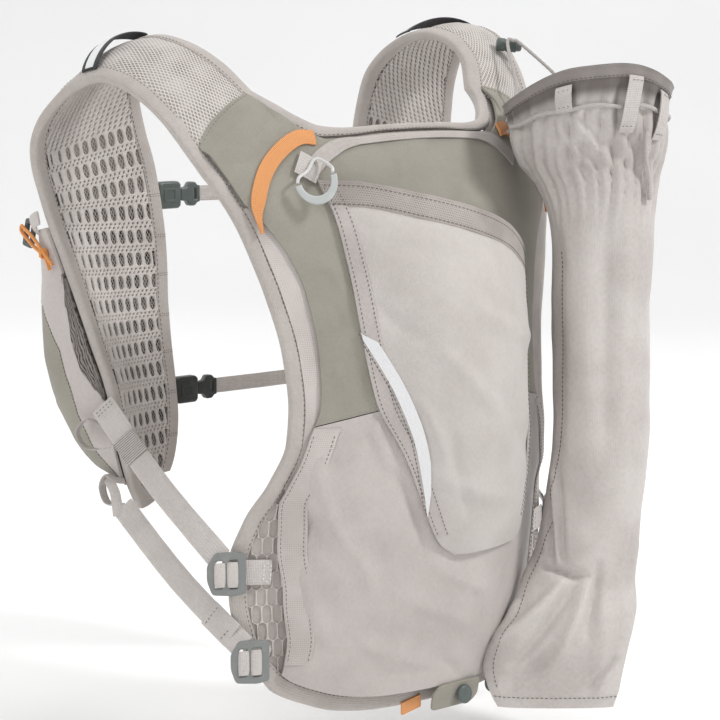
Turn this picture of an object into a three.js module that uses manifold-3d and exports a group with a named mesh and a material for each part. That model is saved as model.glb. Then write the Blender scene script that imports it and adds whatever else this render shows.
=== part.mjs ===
// A running hydration vest in its worn shape, in millimetres.
// X points to the wearer's left, Y to the back, Z up. The origin lies midway between the shoulder straps.
import * as THREE from "three";
import { mergeVertices } from "three/addons/utils/BufferGeometryUtils.js";
import Module from "manifold-3d";

const wasm = await Module();
wasm.setup();

// Driving sizes
const GAP = 0.3; // clearance between neighbouring pieces
const SEAM_GAP = 1; // clearance between cloth edges that follow one curved face
const BINDING_WIDTH = 9.5;
const LINER_WALL = 4;
const STRAP_WALL = 6;
const CLOTH_WALL = 1.6;
const COVER_LIFT = 1.3; // the cover cloth starts this far above the liner
const POCKET_LIFT = 0.8; // and the back pocket this far above the cover
const WEBBING_WIDTH = 15.5;
const WEBBING_WALL = 1.4;
const STERNUM_WIDTH = 10;
const CORD_RADIUS = 1.3;
const CORD_SIDES = 6;
const QUIVER_WALL = 1.6;
const FLASK_LIFT = 0.8;

// The back, level by level: how far out and back its armhole edge lies, how far back its middle lies,
// where the cover's side seam runs as a share of the half width, and how far the cover stands off there.
const BACK = [
  { z: -408, edgeX: 106, edgeY: 107, midY: 128, seam: 0.95, stand: 5 },
  { z: -384, edgeX: 117, edgeY: 102, midY: 128, seam: 0.92, stand: 11 },
  { z: -372, edgeX: 123, edgeY: 99, midY: 129, seam: 0.86, stand: 15 },
  { z: -355, edgeX: 130, edgeY: 95, midY: 130, seam: 0.8, stand: 19 },
  { z: -329, edgeX: 134, edgeY: 91, midY: 132, seam: 0.79, stand: 23 },
  { z: -309, edgeX: 134, edgeY: 91, midY: 134, seam: 0.81, stand: 24 },
  { z: -285, edgeX: 128, edgeY: 97, midY: 136, seam: 0.86, stand: 23 },
  { z: -262, edgeX: 119, edgeY: 110, midY: 137, seam: 0.93, stand: 22 },
  { z: -235, edgeX: 110, edgeY: 118, midY: 138, seam: 0.9, stand: 21 },
  { z: -214, edgeX: 108, edgeY: 118, midY: 138, seam: 0.84, stand: 19 },
  { z: -183, edgeX: 110, edgeY: 115, midY: 137, seam: 0.82, stand: 17 },
  { z: -145, edgeX: 119, edgeY: 109, midY: 134, seam: 0.81, stand: 13 },
  { z: -125, edgeX: 125, edgeY: 104, midY: 131.5, seam: 0.83, stand: 10 },
  { z: -104, edgeX: 132, edgeY: 98, midY: 128, seam: 0.885, stand: 8 },
  { z: -80, edgeX: 142, edgeY: 87, midY: 120, seam: 0.96, stand: 4.5 },
  { z: -64, edgeX: 148, edgeY: 74, midY: 115, seam: 1, stand: 4 },
  { z: -48, edgeX: 153, edgeY: 60, midY: 108, seam: 1, stand: 3.5 },
  { z: -36, edgeX: 156, edgeY: 48, midY: 96, seam: 1, stand: 3 },
  { z: -26, edgeX: 160, edgeY: 33, midY: 80, seam: 1, stand: 3 },
];

// Edges of the back panel by share of the half width: liner ends, and the outline at neck and hem.
const NECK = [
  { share: 0, liner: -51.5, x: 0, z: -46.5 },
  { share: 0.17, liner: -52, x: 25, z: -47 },
  { share: 0.355, liner: -54, x: 50, z: -48 },
  { share: 0.48, liner: -54.5, x: 67, z: -46.5 },
  { share: 0.575, liner: -48.5, x: 79, z: -39.5 },
  { share: 0.625, liner: -41, x: 86, z: -33 },
  { share: 0.672, liner: -32.5, x: 92, z: -26 },
];
const HEM = [
  { share: 0, liner: -398, x: 0, z: -408 },
  { share: 0.4, liner: -397.5, x: 43, z: -407.5 },
  { share: 0.65, liner: -394.5, x: 72, z: -404.5 },
  { share: 0.85, liner: -387, x: 96, z: -396.5 },
  { share: 0.95, liner: -379, x: 112, z: -388 },
  { share: 1, liner: -368, x: 124.5, z: -368 },
];

// The left strap from the yoke seam over the shoulder to the front: neck-side edge, arm-side edge, the
// rise of its middle over the chord, and how much higher the arm-side edge of the right strap lies.
const STRAP = [
  { mx: 92, my: 64.5, mz: -26, lx: 146, ly: 79, lz: -68, crown: 6, right: 4 },
  { mx: 101, my: 50, mz: -10, lx: 154, ly: 57, lz: -43, crown: 6, right: 16 },
  { mx: 106, my: 34, mz: -0.5, lx: 160, ly: 33, lz: -26.5, crown: 6, right: 24 },
  { mx: 109, my: 17, mz: 5, lx: 163, ly: 14, lz: -20, crown: 6, right: 27 },
  { mx: 110, my: 0, mz: 7, lx: 165, ly: -2, lz: -19, crown: 6, right: 25 },
  { mx: 109, my: -18, mz: 4.5, lx: 168, ly: -19, lz: -24.5, crown: 6, right: 18 },
  { mx: 105, my: -33, mz: -4, lx: 172, ly: -31, lz: -33, crown: 5, right: 10 },
  { mx: 99, my: -43, mz: -17, lx: 177, ly: -41, lz: -46, crown: 4, right: 4 },
  { mx: 95, my: -48, mz: -35, lx: 179, ly: -46, lz: -60, crown: 3, right: 0 },
  { mx: 90, my: -48, mz: -56, lx: 178, ly: -46.5, lz: -75, crown: 3, right: 0 },
  { mx: 85, my: -45, mz: -78, lx: 175, ly: -44, lz: -91, crown: 4, right: 0 },
  { mx: 80, my: -43, mz: -112, lx: 170, ly: -40.5, lz: -111.5, crown: 5, right: 0 },
  { mx: 77, my: -44, mz: -138, lx: 163, ly: -35, lz: -137, crown: 6, right: 0 },
  { mx: 76, my: -45, mz: -163, lx: 157.5, ly: -28.5, lz: -162, crown: 7, right: 0 },
  { mx: 74, my: -45, mz: -193, lx: 150, ly: -21, lz: -194, crown: 7, right: 0 },
  { mx: 74, my: -41, mz: -220, lx: 144, ly: -17, lz: -218, crown: 6, right: 0 },
  { mx: 76, my: -36, mz: -245, lx: 136, ly: -21, lz: -245, crown: 5, right: 0 },
  { mx: 84, my: -31, mz: -269, lx: 126, ly: -25, lz: -271, crown: 3, right: 0 },
  { mx: 97, my: -29, mz: -286, lx: 119, ly: -27, lz: -289, crown: 1, right: 0 },
  { mx: 103, my: -28.5, mz: -294, lx: 115, ly: -27.5, lz: -295, crown: 0, right: 0 },
];

// The back pocket by level: seam on each side and how far its middle stands off the cover.
const POCKET = [
  { z: -308, left: 14, right: 46, lift: 2 },
  { z: -300, left: 25, right: 56, lift: 5 },
  { z: -276, left: 36, right: 60, lift: 10 },
  { z: -250, left: 46, right: 62, lift: 15 },
  { z: -210, left: 63, right: 64, lift: 20 },
  { z: -170, left: 69, right: 68, lift: 22 },
  { z: -128, left: 74, right: 73, lift: 23 },
  { z: -92, left: 80, right: 80, lift: 22 },
  { z: -78, left: 84, right: 84, lift: 20 },
];
// The pocket's mouth from the wearer's left to the right, by share of the half width.
const POCKET_MOUTH = [
  { share: -1, z: -131 },
  { share: -0.75, z: -122 },
  { share: -0.4, z: -108 },
  { share: 0, z: -97 },
  { share: 0.45, z: -87 },
  { share: 0.8, z: -80 },
  { share: 1, z: -79 },
];

// The quiver from the mouth down: centre, half width across the view and half depth along it.
const QUIVER = [
  { z: -38, x: -108, y: 155, wide: 53, deep: 46 },
  { z: -48, x: -108, y: 155, wide: 50, deep: 44 },
  { z: -60, x: -108, y: 157, wide: 48, deep: 40 },
  { z: -74, x: -108, y: 159, wide: 44, deep: 36 },
  { z: -87, x: -108, y: 165, wide: 38, deep: 32 },
  { z: -103, x: -108, y: 168, wide: 34, deep: 29 },
  { z: -124, x: -108, y: 169, wide: 32, deep: 27 },
  { z: -174, x: -108, y: 169, wide: 30.5, deep: 26 },
  { z: -250, x: -106, y: 171.5, wide: 30.5, deep: 25 },
  { z: -291, x: -104, y: 168, wide: 31.5, deep: 24 },
  { z: -316, x: -102, y: 166, wide: 33, deep: 22 },
  { z: -338, x: -93, y: 166, wide: 36.5, deep: 18 },
  { z: -360, x: -83, y: 170, wide: 40, deep: 15 },
  { z: -388, x: -71, y: 168, wide: 45, deep: 11 },
  { z: -405, x: -68, y: 170, wide: 42, deep: 8 },
  { z: -418, x: -68, y: 171, wide: 37, deep: 4.5 },
];
const RIM_ARCH = 19; // the mouth's front and back rise this much over its sides
const RIM_TILT = 7; // its back stands higher than its front by twice this
const RIM_SLANT = 11; // and its outer side is this much higher than the one next to the body

// The left flask pocket by strap station: how far its front stands off the strap.
const FLASK = [
  { station: 11, lift: 22 },
  { station: 12, lift: 31 },
  { station: 13, lift: 38 },
  { station: 14, lift: 43 },
  { station: 15, lift: 43 },
  { station: 16, lift: 38 },
  { station: 16.7, lift: 28 },
  { station: 17.3, lift: 0 },
];

const COLOUR = {
  cloth: 0xc3bcb8,
  mesh: 0xb9b1ad,
  binding: 0xb4aca8,
  olive: 0x9b968a,
  orange: 0xfaaf69,
  grey: 0x878c89,
  dark: 0x2d312f,
  slate: 0x555f5c,
  white: 0xe8e8e6,
};

// Curves and surfaces

const V = (x, y, z) => new THREE.Vector3(x, y, z);
const mix = (a, b, t) => a + (b - a) * t;
const ease = (t) => {
  const s = Math.min(1, Math.max(0, t));
  return s * s * (3 - 2 * s);
};
const steps = (from, to, count) =>
  Array.from({ length: count + 1 }, (_, i) => mix(from, to, i / count));

// Reads a column of a table whose key column rises, along a smooth curve without overshoot.
function read(table, key, column, at) {
  const last = table.length - 1;
  if (at <= table[0][key]) return table[0][column];
  if (at >= table[last][key]) return table[last][column];
  const i = table.findIndex((row) => row[key] > at) - 1;
  const chord = (j) =>
    (table[j + 1][column] - table[j][column]) / (table[j + 1][key] - table[j][key]);
  const slope = (j) => {
    if (j === 0) return chord(0);
    if (j === last) return chord(last - 1);
    const a = chord(j - 1);
    const b = chord(j);
    return a * b <= 0 ? 0 : (2 * a * b) / (a + b);
  };
  const span = table[i + 1][key] - table[i][key];
  const t = (at - table[i][key]) / span;
  return (
    (2 * t ** 3 - 3 * t * t + 1) * table[i][column] +
    (t ** 3 - 2 * t * t + t) * slope(i) * span +
    (3 * t * t - 2 * t ** 3) * table[i + 1][column] +
    (t ** 3 - t * t) * slope(i + 1) * span
  );
}

const backAt = (column, z) => read(BACK, "z", column, z);

// The liner's outer face at a place seen from behind.
function linerY(x, z) {
  const mid = backAt("midY", z);
  return mid - (mid - backAt("edgeY", z)) * (Math.abs(x) / backAt("edgeX", z)) ** 2;
}

// The side seam of the cover, held clear of the binding.
const seamX = (z) => {
  const edge = backAt("edgeX", z);
  return Math.min(backAt("seam", z) * edge, edge - BINDING_WIDTH - 2 * GAP);
};

// The cover's inner face: it leaves the liner at the side seams and stands off in the middle.
function coverY(x, z) {
  const q = Math.min(1, Math.abs(x) / seamX(z));
  return linerY(x, z) + COVER_LIFT + backAt("stand", z) * (1 - q * q);
}

const pocketHalf = (x, z) => read(POCKET, "z", x < 0 ? "right" : "left", z);

// The pocket's inner face over the cover.
function pocketY(x, z) {
  const q = Math.min(1, Math.abs(x) / pocketHalf(x, z));
  return coverY(x, z) + CLOTH_WALL + POCKET_LIFT + read(POCKET, "z", "lift", z) * (1 - q * q);
}

// A point with its outward normal on one of the faces that look to the back.
function onFace(face, x, z, lift = 0) {
  const d = 0.5;
  const normal = V(
    (face(x - d, z) - face(x + d, z)) / (2 * d),
    1,
    (face(x, z - d) - face(x, z + d)) / (2 * d),
  ).normalize();
  return { p: V(x, face(x, z), z).addScaledVector(normal, lift), n: normal };
}

// One coordinate of the strap table at a broken station number.
function station(column, t) {
  const top = STRAP.length - 1;
  const s = Math.min(top, Math.max(0, t));
  const i = Math.min(top - 1, Math.floor(s));
  const f = s - i;
  const value = (j) => STRAP[Math.min(top, Math.max(0, j))][column];
  const before = value(i - 1);
  const a = value(i);
  const b = value(i + 1);
  const after = value(i + 2);
  return (
    a +
    0.5 * f * (b - before + f * (2 * before - 5 * a + 4 * b - after + f * (3 * (a - b) + after - before)))
  );
}

function strapRaw(t, v, right) {
  const at = (s) => ({
    m: V(station("mx", s), station("my", s), station("mz", s)),
    l: V(station("lx", s), station("ly", s), station("lz", s) + right * station("right", s)),
  });
  const here = at(t);
  const ahead = at(Math.min(t + 0.5, STRAP.length - 1));
  const behind = at(Math.max(t - 0.5, 0));
  const along = ahead.m.add(ahead.l).sub(behind.m).sub(behind.l);
  const up = along.cross(here.l.clone().sub(here.m)).normalize();
  const rise = station("crown", t) * 4 * v * (1 - v);
  return here.m.lerp(here.l, v).addScaledVector(up, rise);
}

// The strap's outer face; its first stations blend into the liner at the yoke seam. With right at 1 it is
// the mirror of the wearer's right strap.
function strapPoint(t, v, right = 0) {
  const point = strapRaw(t, v, right);
  if (t >= 2) return point;
  const first = STRAP[0];
  const x = mix(first.mx, first.lx, v);
  const z = mix(first.mz, first.lz, v);
  const step = V(x, linerY(x, z), z).sub(strapRaw(0, v, right));
  return point.addScaledVector(step, 1 - ease(t / 2));
}

function onStrap(t, v, lift = 0, right = 0) {
  const d = 0.06;
  const along = strapPoint(t + d, v, right).sub(strapPoint(t - d, v, right));
  const across = strapPoint(t, v + d, right).sub(strapPoint(t, v - d, right));
  const normal = along.cross(across).normalize();
  return { p: strapPoint(t, v, right).addScaledVector(normal, lift), n: normal };
}

const strapWidth = (t, right = 0) => strapPoint(t, 0, right).distanceTo(strapPoint(t, 1, right));

const mirrored = (frame) => ({
  p: V(-frame.p.x, frame.p.y, frame.p.z),
  n: V(-frame.n.x, frame.n.y, frame.n.z),
});
const mirroredGrid = (grid) => grid.map((row) => row.map(mirrored));

// Solids

function solid(points, faces) {
  let volume = 0;
  for (const [a, b, c] of faces)
    volume += points[a].dot(points[b].clone().cross(points[c]));
  const index = faces.flatMap(([a, b, c]) => (volume < 0 ? [a, c, b] : [a, b, c]));
  const geometry = new THREE.BufferGeometry().setFromPoints(points);
  geometry.setIndex(index);
  return geometry;
}

// A wall between two copies of a grid of framed points, moved out and in along their normals.
function slab(grid, out, inner) {
  const rows = grid.length;
  const cols = grid[0].length;
  const move = (by) =>
    grid.flatMap((row) => row.map((f) => f.p.clone().addScaledVector(f.n, by)));
  const points = [...move(out), ...move(-inner)];
  const under = rows * cols;
  const at = (i, j) => i * cols + j;
  const faces = [];
  const quad = (a, b, c, d) => faces.push([a, b, c], [a, c, d]);
  for (let i = 0; i < rows - 1; i++)
    for (let j = 0; j < cols - 1; j++) {
      const [a, b, c, d] = [at(i, j), at(i + 1, j), at(i + 1, j + 1), at(i, j + 1)];
      quad(a, b, c, d);
      quad(under + a, under + d, under + c, under + b);
    }
  const rim = [];
  for (let j = 0; j < cols - 1; j++) rim.push(at(0, j));
  for (let i = 0; i < rows - 1; i++) rim.push(at(i, cols - 1));
  for (let j = cols - 1; j > 0; j--) rim.push(at(rows - 1, j));
  for (let i = rows - 1; i > 0; i--) rim.push(at(i, 0));
  rim.forEach((a, k) => {
    const b = rim[(k + 1) % rim.length];
    quad(a, b, under + b, under + a);
  });
  return solid(points, faces);
}

// Rings of equal length joined in order, with a fan over each end.
function loft(rings) {
  const n = rings[0].length;
  const points = rings.flat();
  const faces = [];
  for (let i = 0; i < rings.length - 1; i++)
    for (let j = 0; j < n; j++) {
      const a = i * n + j;
      const b = i * n + ((j + 1) % n);
      faces.push([a, b, b + n], [a, b + n, a + n]);
    }
  for (const [start, turn] of [
    [0, 1],
    [(rings.length - 1) * n, -1],
  ]) {
    const middle = points.length;
    const centre = V(0, 0, 0);
    for (let j = 0; j < n; j++) centre.add(points[start + j]);
    points.push(centre.divideScalar(n));
    for (let j = 0; j < n; j++) {
      const a = start + j;
      const b = start + ((j + 1) % n);
      faces.push(turn > 0 ? [middle, b, a] : [middle, a, b]);
    }
  }
  return solid(points, faces);
}

// A smooth path through the listed points.
const curve = (...points) =>
  new THREE.CatmullRomCurve3(points.map((p) => V(...p)), false, "centripetal");

// A round cord along a path.
function cord(path, count, radius = CORD_RADIUS) {
  const { normals, binormals } = path.computeFrenetFrames(count, false);
  const rings = steps(0, 1, count).map((u, i) =>
    Array.from({ length: CORD_SIDES }, (_, k) => {
      const angle = (2 * Math.PI * k) / CORD_SIDES;
      return path
        .getPointAt(u)
        .addScaledVector(normals[i], radius * Math.cos(angle))
        .addScaledVector(binormals[i], radius * Math.sin(angle));
    }),
  );
  return loft(rings);
}

// Flat webbing along a path, its broad face turned as far as it goes to face the given way, which is one
// direction or a direction for each point.
function webbing(path, count, width, facing, wall = WEBBING_WALL) {
  const grid = steps(0, 1, count).map((u) => {
    const p = path.getPointAt(u);
    const t = path.getTangentAt(u);
    const hint = typeof facing === "function" ? facing(p) : V(...facing);
    const n = hint.clone().addScaledVector(t, -hint.dot(t)).normalize();
    const side = n.clone().cross(t).multiplyScalar(width / 2);
    return [
      { p: p.clone().add(side), n },
      { p: p.clone().sub(side), n },
    ];
  });
  return slab(grid, wall / 2, wall / 2);
}

// A flat plate cut from an outline with holes, its middle set at a place with two in-plane directions.
function plate(outline, holes, depth, centre, right, up) {
  const shape = new THREE.Shape(outline.map(([a, b]) => new THREE.Vector2(a, b)));
  shape.holes = holes.map(
    (hole) => new THREE.Path(hole.map(([a, b]) => new THREE.Vector2(a, b))),
  );
  const geometry = new THREE.ExtrudeGeometry(shape, { depth, bevelEnabled: false });
  geometry.translate(0, 0, -depth / 2);
  const u = V(...right).normalize();
  const w = V(...up);
  w.addScaledVector(u, -w.dot(u)).normalize();
  const basis = new THREE.Matrix4().makeBasis(u, w, u.clone().cross(w));
  return geometry.applyMatrix4(basis).translate(...centre);
}

const box = (a0, b0, a1, b1) => [
  [a0, b0],
  [a1, b0],
  [a1, b1],
  [a0, b1],
];

function toManifold(geometry) {
  const bare = geometry.clone();
  bare.deleteAttribute("normal");
  bare.deleteAttribute("uv");
  const merged = mergeVertices(bare, 1e-4);
  return new wasm.Manifold(
    new wasm.Mesh({
      numProp: 3,
      vertProperties: merged.attributes.position.array,
      triVerts: new Uint32Array(merged.index.array),
    }),
  );
}

function union(...geometries) {
  const mesh = geometries
    .map(toManifold)
    .reduce((a, b) => a.add(b))
    .getMesh();
  return new THREE.BufferGeometry()
    .setAttribute("position", new THREE.BufferAttribute(new Float32Array(mesh.vertProperties), 3))
    .setIndex(new THREE.BufferAttribute(mesh.triVerts, 1));
}

function mirrorGeometry(geometry) {
  const copy = (geometry.index ? geometry.toNonIndexed() : geometry.clone()).scale(-1, 1, 1);
  const p = copy.attributes.position.array;
  for (let i = 0; i < p.length; i += 9)
    for (let k = 0; k < 3; k++) [p[i + 3 + k], p[i + 6 + k]] = [p[i + 6 + k], p[i + 3 + k]];
  return copy;
}

const vest = new THREE.Group();
vest.name = "hydration_vest";
function add(name, colour, geometry) {
  const mesh = new THREE.Mesh(geometry, new THREE.MeshStandardMaterial({ color: colour }));
  mesh.name = name;
  vest.add(mesh);
}
// A pair of mirrored pieces; where the straps differ, make(1) gives the mirror of the right one.
function addPair(name, colour, left, right = left) {
  add(`${name}_left`, colour, left);
  add(`${name}_right`, colour, mirrorGeometry(right));
}
const addStrapPair = (name, colour, make) => addPair(name, colour, make(0), make(1));

// Back liner

const SHARES = [0, 0.17, 0.355, 0.48, 0.575, 0.625, 0.672, 0.78, 0.89, 1];
const ACROSS = [...SHARES.slice(1).map((s) => -s).reverse(), ...SHARES];
const linerEdge = (z) => backAt("edgeX", z) - BINDING_WIDTH - SEAM_GAP;
const SEAM_TOP = -33; // liner level at the neck end of the strap seam
const SEAM_LOW = -63; // and at its arm end
function linerTop(share) {
  const s = Math.abs(share);
  const corner = NECK[NECK.length - 1].share;
  if (s <= corner) return read(NECK, "share", "liner", s);
  return mix(SEAM_TOP, SEAM_LOW, (s - corner) / (1 - corner));
}
const linerBottom = (share) => read(HEM, "share", "liner", Math.abs(share));

const linerGrid = steps(0, 1, 18).map((b) =>
  ACROSS.map((share) => {
    const z = mix(linerBottom(share), linerTop(share), b);
    return onFace(linerY, share * linerEdge(z), z);
  }),
);
add("back_liner", COLOUR.mesh, slab(linerGrid, 0, LINER_WALL));

// Cover: olive yoke above, light cloth below

const yokeFoot = (share) => mix(-206, -225, Math.abs(share) ** 1.5);
function coverGrid(shares, low, high, rows) {
  return steps(0, 1, rows).map((b) =>
    shares.map((share) => {
      const z = mix(low(share), high(share), b);
      return onFace(coverY, share * seamX(z), z);
    }),
  );
}
add(
  "yoke_panel",
  COLOUR.olive,
  slab(coverGrid(ACROSS, (s) => yokeFoot(s) + GAP, (s) => linerTop(s) - 0.9, 9), CLOTH_WALL, 0),
);
const LOWER_ACROSS = steps(-1, 1, 12);
add(
  "lower_panel",
  COLOUR.cloth,
  slab(
    coverGrid(LOWER_ACROSS, (s) => mix(-397.5, -378, Math.abs(s) ** 5), (s) => yokeFoot(s) - GAP, 11),
    CLOTH_WALL,
    0,
  ),
);

// Back pocket, open at the top

const pocketGrid = steps(0, 1, 10).map((b) =>
  steps(-1, 1, 12).map((share) => {
    const z = mix(-308, read(POCKET_MOUTH, "share", "z", share), b);
    return onFace(pocketY, share * pocketHalf(share, z), z);
  }),
);
add("back_pocket", COLOUR.cloth, slab(pocketGrid, CLOTH_WALL, 0));

// Edge bindings

// Where the neck-side and arm-side bindings meet the strap's body, as shares of its width.
const armShare = (t, right) => 1 - BINDING_WIDTH / strapWidth(t, right);
const neckShare = (t, right) => BINDING_WIDTH / strapWidth(t, right);
const STRAP_END = 17.4;
const strapRows = steps(0.04, STRAP_END, 25);
const backRows = [-367.7, -355, -340, -325, -309, -295, -280, -265, -250, -235, -218, -200, -180];
backRows.push(-160, -140, -122, -106, -92, -79, -67);
const armholeRows = (right) => [
  ...backRows.map((z) => {
    const outer = z - 6 * ease((z + 110) / 44);
    return [
      onFace(linerY, backAt("edgeX", z) - BINDING_WIDTH, z),
      onFace(linerY, backAt("edgeX", outer), outer),
    ];
  }),
  ...strapRows.map((t) => [onStrap(t, armShare(t, right), 0, right), onStrap(t, 1, 0, right)]),
  [onStrap(STRAP_END, 0.68), onStrap(18.6, 0.9)],
  [onStrap(STRAP_END, 0.5), onStrap(18.95, 0.5)],
  [onStrap(STRAP_END, 0.32), onStrap(18.6, 0.1)],
];
addStrapPair("armhole_binding", COLOUR.binding, (right) => slab(armholeRows(right), 0.3, STRAP_WALL));

const neckStrapRows = (right) =>
  [STRAP_END - 0.15, ...[...strapRows].reverse().slice(1)].map((t) => [
    onStrap(t, neckShare(t, right), 0, right),
    onStrap(t, 0, 0, right),
  ]);
const neckBackRows = [...NECK]
  .reverse()
  .map((row) => [
    onFace(linerY, row.share * linerEdge(row.liner), row.liner + SEAM_GAP),
    onFace(linerY, row.x, row.z),
  ]);
const neckHalf = (right) => [...neckStrapRows(right), ...neckBackRows];
add(
  "neck_binding",
  COLOUR.binding,
  slab([...neckHalf(0), ...mirroredGrid(neckHalf(1)).reverse().slice(1)], 0.3, STRAP_WALL),
);

const hemRight = HEM.map((row) => [
  onFace(linerY, row.share * linerEdge(row.liner), row.liner - SEAM_GAP),
  onFace(linerY, row.x, row.z - SEAM_GAP),
]);
add(
  "hem_binding",
  COLOUR.binding,
  slab([...[...hemRight].reverse(), ...mirroredGrid(hemRight).slice(1)], 0.3, LINER_WALL),
);

// Shoulder straps

const strapGrid = (right) =>
  [...strapRows.slice(0, -1), STRAP_END - 0.1].map((t) => {
    const low = (BINDING_WIDTH + SEAM_GAP) / strapWidth(t, right);
    return steps(low, 1 - low, 3).map((v) => onStrap(t, v, 0, right));
  });
addStrapPair("shoulder_strap", COLOUR.mesh, (right) => slab(strapGrid(right), 0, STRAP_WALL));

// Arch under the neck

const ARCH = [
  { x: 85, z: -73.5, width: 9 },
  { x: 76, z: -66, width: 9 },
  { x: 66, z: -60.5, width: 8 },
  { x: 56, z: -57.8, width: 5 },
  { x: 40, z: -56.4, width: 3.4 },
  { x: 20, z: -55.3, width: 3.4 },
  { x: 0, z: -55, width: 3.4 },
];
const archHalf = ARCH.map(({ x, z, width }, i) => {
  const a = ARCH[Math.max(0, i - 1)];
  const b = ARCH[Math.min(ARCH.length - 1, i + 1)];
  const along = new THREE.Vector2(b.x - a.x, b.z - a.z).normalize();
  return [-width / 2, width / 2].map((s) =>
    onFace(coverY, x + s * along.y, z - s * along.x, CLOTH_WALL + GAP),
  );
});
add(
  "neck_band",
  COLOUR.binding,
  slab([...archHalf, ...mirroredGrid(archHalf).reverse().slice(1)], 1.2, 0),
);

// Orange webbing from the neck down to the side seam

function coverTape(face, points, width, wall, lift = CLOTH_WALL + GAP) {
  const path = new THREE.CatmullRomCurve3(points.map(([x, z]) => V(x, 0, z)), false, "centripetal");
  const grid = steps(0, 1, 2 * points.length).map((u) => {
    const p = path.getPointAt(u);
    const t = path.getTangentAt(u);
    return [-0.5, 0, 0.5].map((s) =>
      onFace(face, p.x + s * width * t.z, p.z - s * width * t.x, lift),
    );
  });
  return slab(grid, wall, 0);
}
addPair(
  "orange_webbing",
  COLOUR.orange,
  coverTape(
    coverY,
    [
      [77, -55],
      [86, -54.5],
      [97, -60],
      [108, -69.5],
      [116, -81],
      [120.5, -95],
      [119.5, -109],
    ],
    8,
    WEBBING_WALL,
  ),
);

// Pole quiver: a hollow sleeve with a flared foot and an arched mouth

const ACROSS_VIEW = V(-0.743, 0.669, 0);
const ALONG_VIEW = V(0.669, 0.743, 0);
const QUIVER_SIDES = 20;
function quiverRing(z, shrink) {
  const at = (column) => read([...QUIVER].reverse(), "z", column, z);
  const rimShare = ease((z + 74) / 36);
  return Array.from({ length: QUIVER_SIDES }, (_, k) => {
    const angle = (2 * Math.PI * k) / QUIVER_SIDES;
    const c = Math.cos(angle);
    const s = Math.sin(angle);
    const wide = Math.max(2, at("wide") - shrink);
    const deep = Math.max(1.2, at("deep") - shrink);
    const slant = RIM_SLANT * ease((c + 0.12) / 1.1);
    const rise = rimShare * (RIM_ARCH * s * s + RIM_TILT * s + slant);
    return V(at("x"), at("y"), z + rise)
      .addScaledVector(ACROSS_VIEW, wide * c)
      .addScaledVector(ALONG_VIEW, deep * s);
  });
}
const quiverLevels = [...QUIVER].reverse().map((row) => row.z);
add(
  "quiver",
  COLOUR.cloth,
  loft([
    ...quiverLevels.map((z) => quiverRing(z, 0)),
    ...quiverLevels.slice(1).reverse().map((z) => quiverRing(z, QUIVER_WALL)),
  ]),
);

// A place on the quiver's outside by angle, with its outward direction.
function onQuiver(degrees, z, lift) {
  const k = (degrees / 360) * QUIVER_SIDES;
  const ringAt = quiverRing(z, 0);
  const a = ringAt[((Math.floor(k) % QUIVER_SIDES) + QUIVER_SIDES) % QUIVER_SIDES];
  const b = ringAt[(((Math.floor(k) + 1) % QUIVER_SIDES) + QUIVER_SIDES) % QUIVER_SIDES];
  const p = a.clone().lerp(b, k - Math.floor(k));
  const n = b.clone().sub(a).cross(V(0, 0, 1)).normalize();
  if (n.dot(p.clone().sub(V(-108, 155, p.z))) < 0) n.negate();
  n.setZ(0).normalize();
  return { p: p.addScaledVector(n, lift), n };
}
const CORD_LEVEL = -53;
const quiverCordPoints = steps(-168, 168, 24).map((a) => onQuiver(a, CORD_LEVEL, 2.4).p.toArray());
add("quiver_cord", COLOUR.binding, cord(curve(...quiverCordPoints), 36));
[
  { name: "quiver_loop_1", angle: 111, top: -45, foot: -59 },
  { name: "quiver_loop_2", angle: 62, top: -43, foot: -61 },
  { name: "quiver_loop_3", angle: 32, top: -45, foot: -63 },
].forEach(({ name, angle, top, foot }) => {
  const heights = steps(top, foot, 6);
  const rows = heights.map((z, i) => {
    const lift = 1.1 + 3.6 * Math.sin((Math.PI * i) / (heights.length - 1)) ** 0.6;
    return [-6, 6].map((turn) => onQuiver(angle + turn, z, lift));
  });
  add(name, COLOUR.cloth, slab(rows, 0.9, 0));
});
const tailTop = onQuiver(51, -60, 3.4).p;
add(
  "quiver_hanging_cord",
  COLOUR.binding,
  cord(
    curve(
      tailTop.toArray(),
      onQuiver(49, -71, 3.2).p.toArray(),
      onQuiver(44, -83, 2.6).p.toArray(),
      onQuiver(40, -95, 2.2).p.toArray(),
    ),
    12,
    1.8,
  ),
);

// Zip pull at the end of the arch: a half ring on a doubled cord, with its webbing tab

const PULL_CENTRE = V(92.3, 123.6, -77.3);
const PULL_FACE = V(0.66, 0.74, 0.14).normalize();
const PULL_TILT = THREE.MathUtils.degToRad(18);
const pullRight = V(0, 0, 1).cross(PULL_FACE).normalize();
const pullUp = PULL_FACE.clone().cross(pullRight);
const onPull = (a, b, out = 0) =>
  PULL_CENTRE.clone()
    .addScaledVector(pullRight, a)
    .addScaledVector(pullUp, b)
    .addScaledVector(PULL_FACE, out)
    .toArray();
const arc = (from, to, wide, tall) =>
  steps(from, to, 12).map((degrees) => {
    const angle = THREE.MathUtils.degToRad(degrees);
    const [a, b] = [wide * Math.cos(angle), tall * Math.sin(angle)];
    return [
      a * Math.cos(PULL_TILT) - b * Math.sin(PULL_TILT),
      a * Math.sin(PULL_TILT) + b * Math.cos(PULL_TILT),
    ];
  });
add(
  "zip_pull",
  COLOUR.grey,
  plate(
    [...arc(180, 360, 12.8, 14.8), ...arc(360, 180, 9, 9.6)],
    [],
    3,
    PULL_CENTRE.toArray(),
    pullRight.toArray(),
    pullUp.toArray(),
  ),
);
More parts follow.
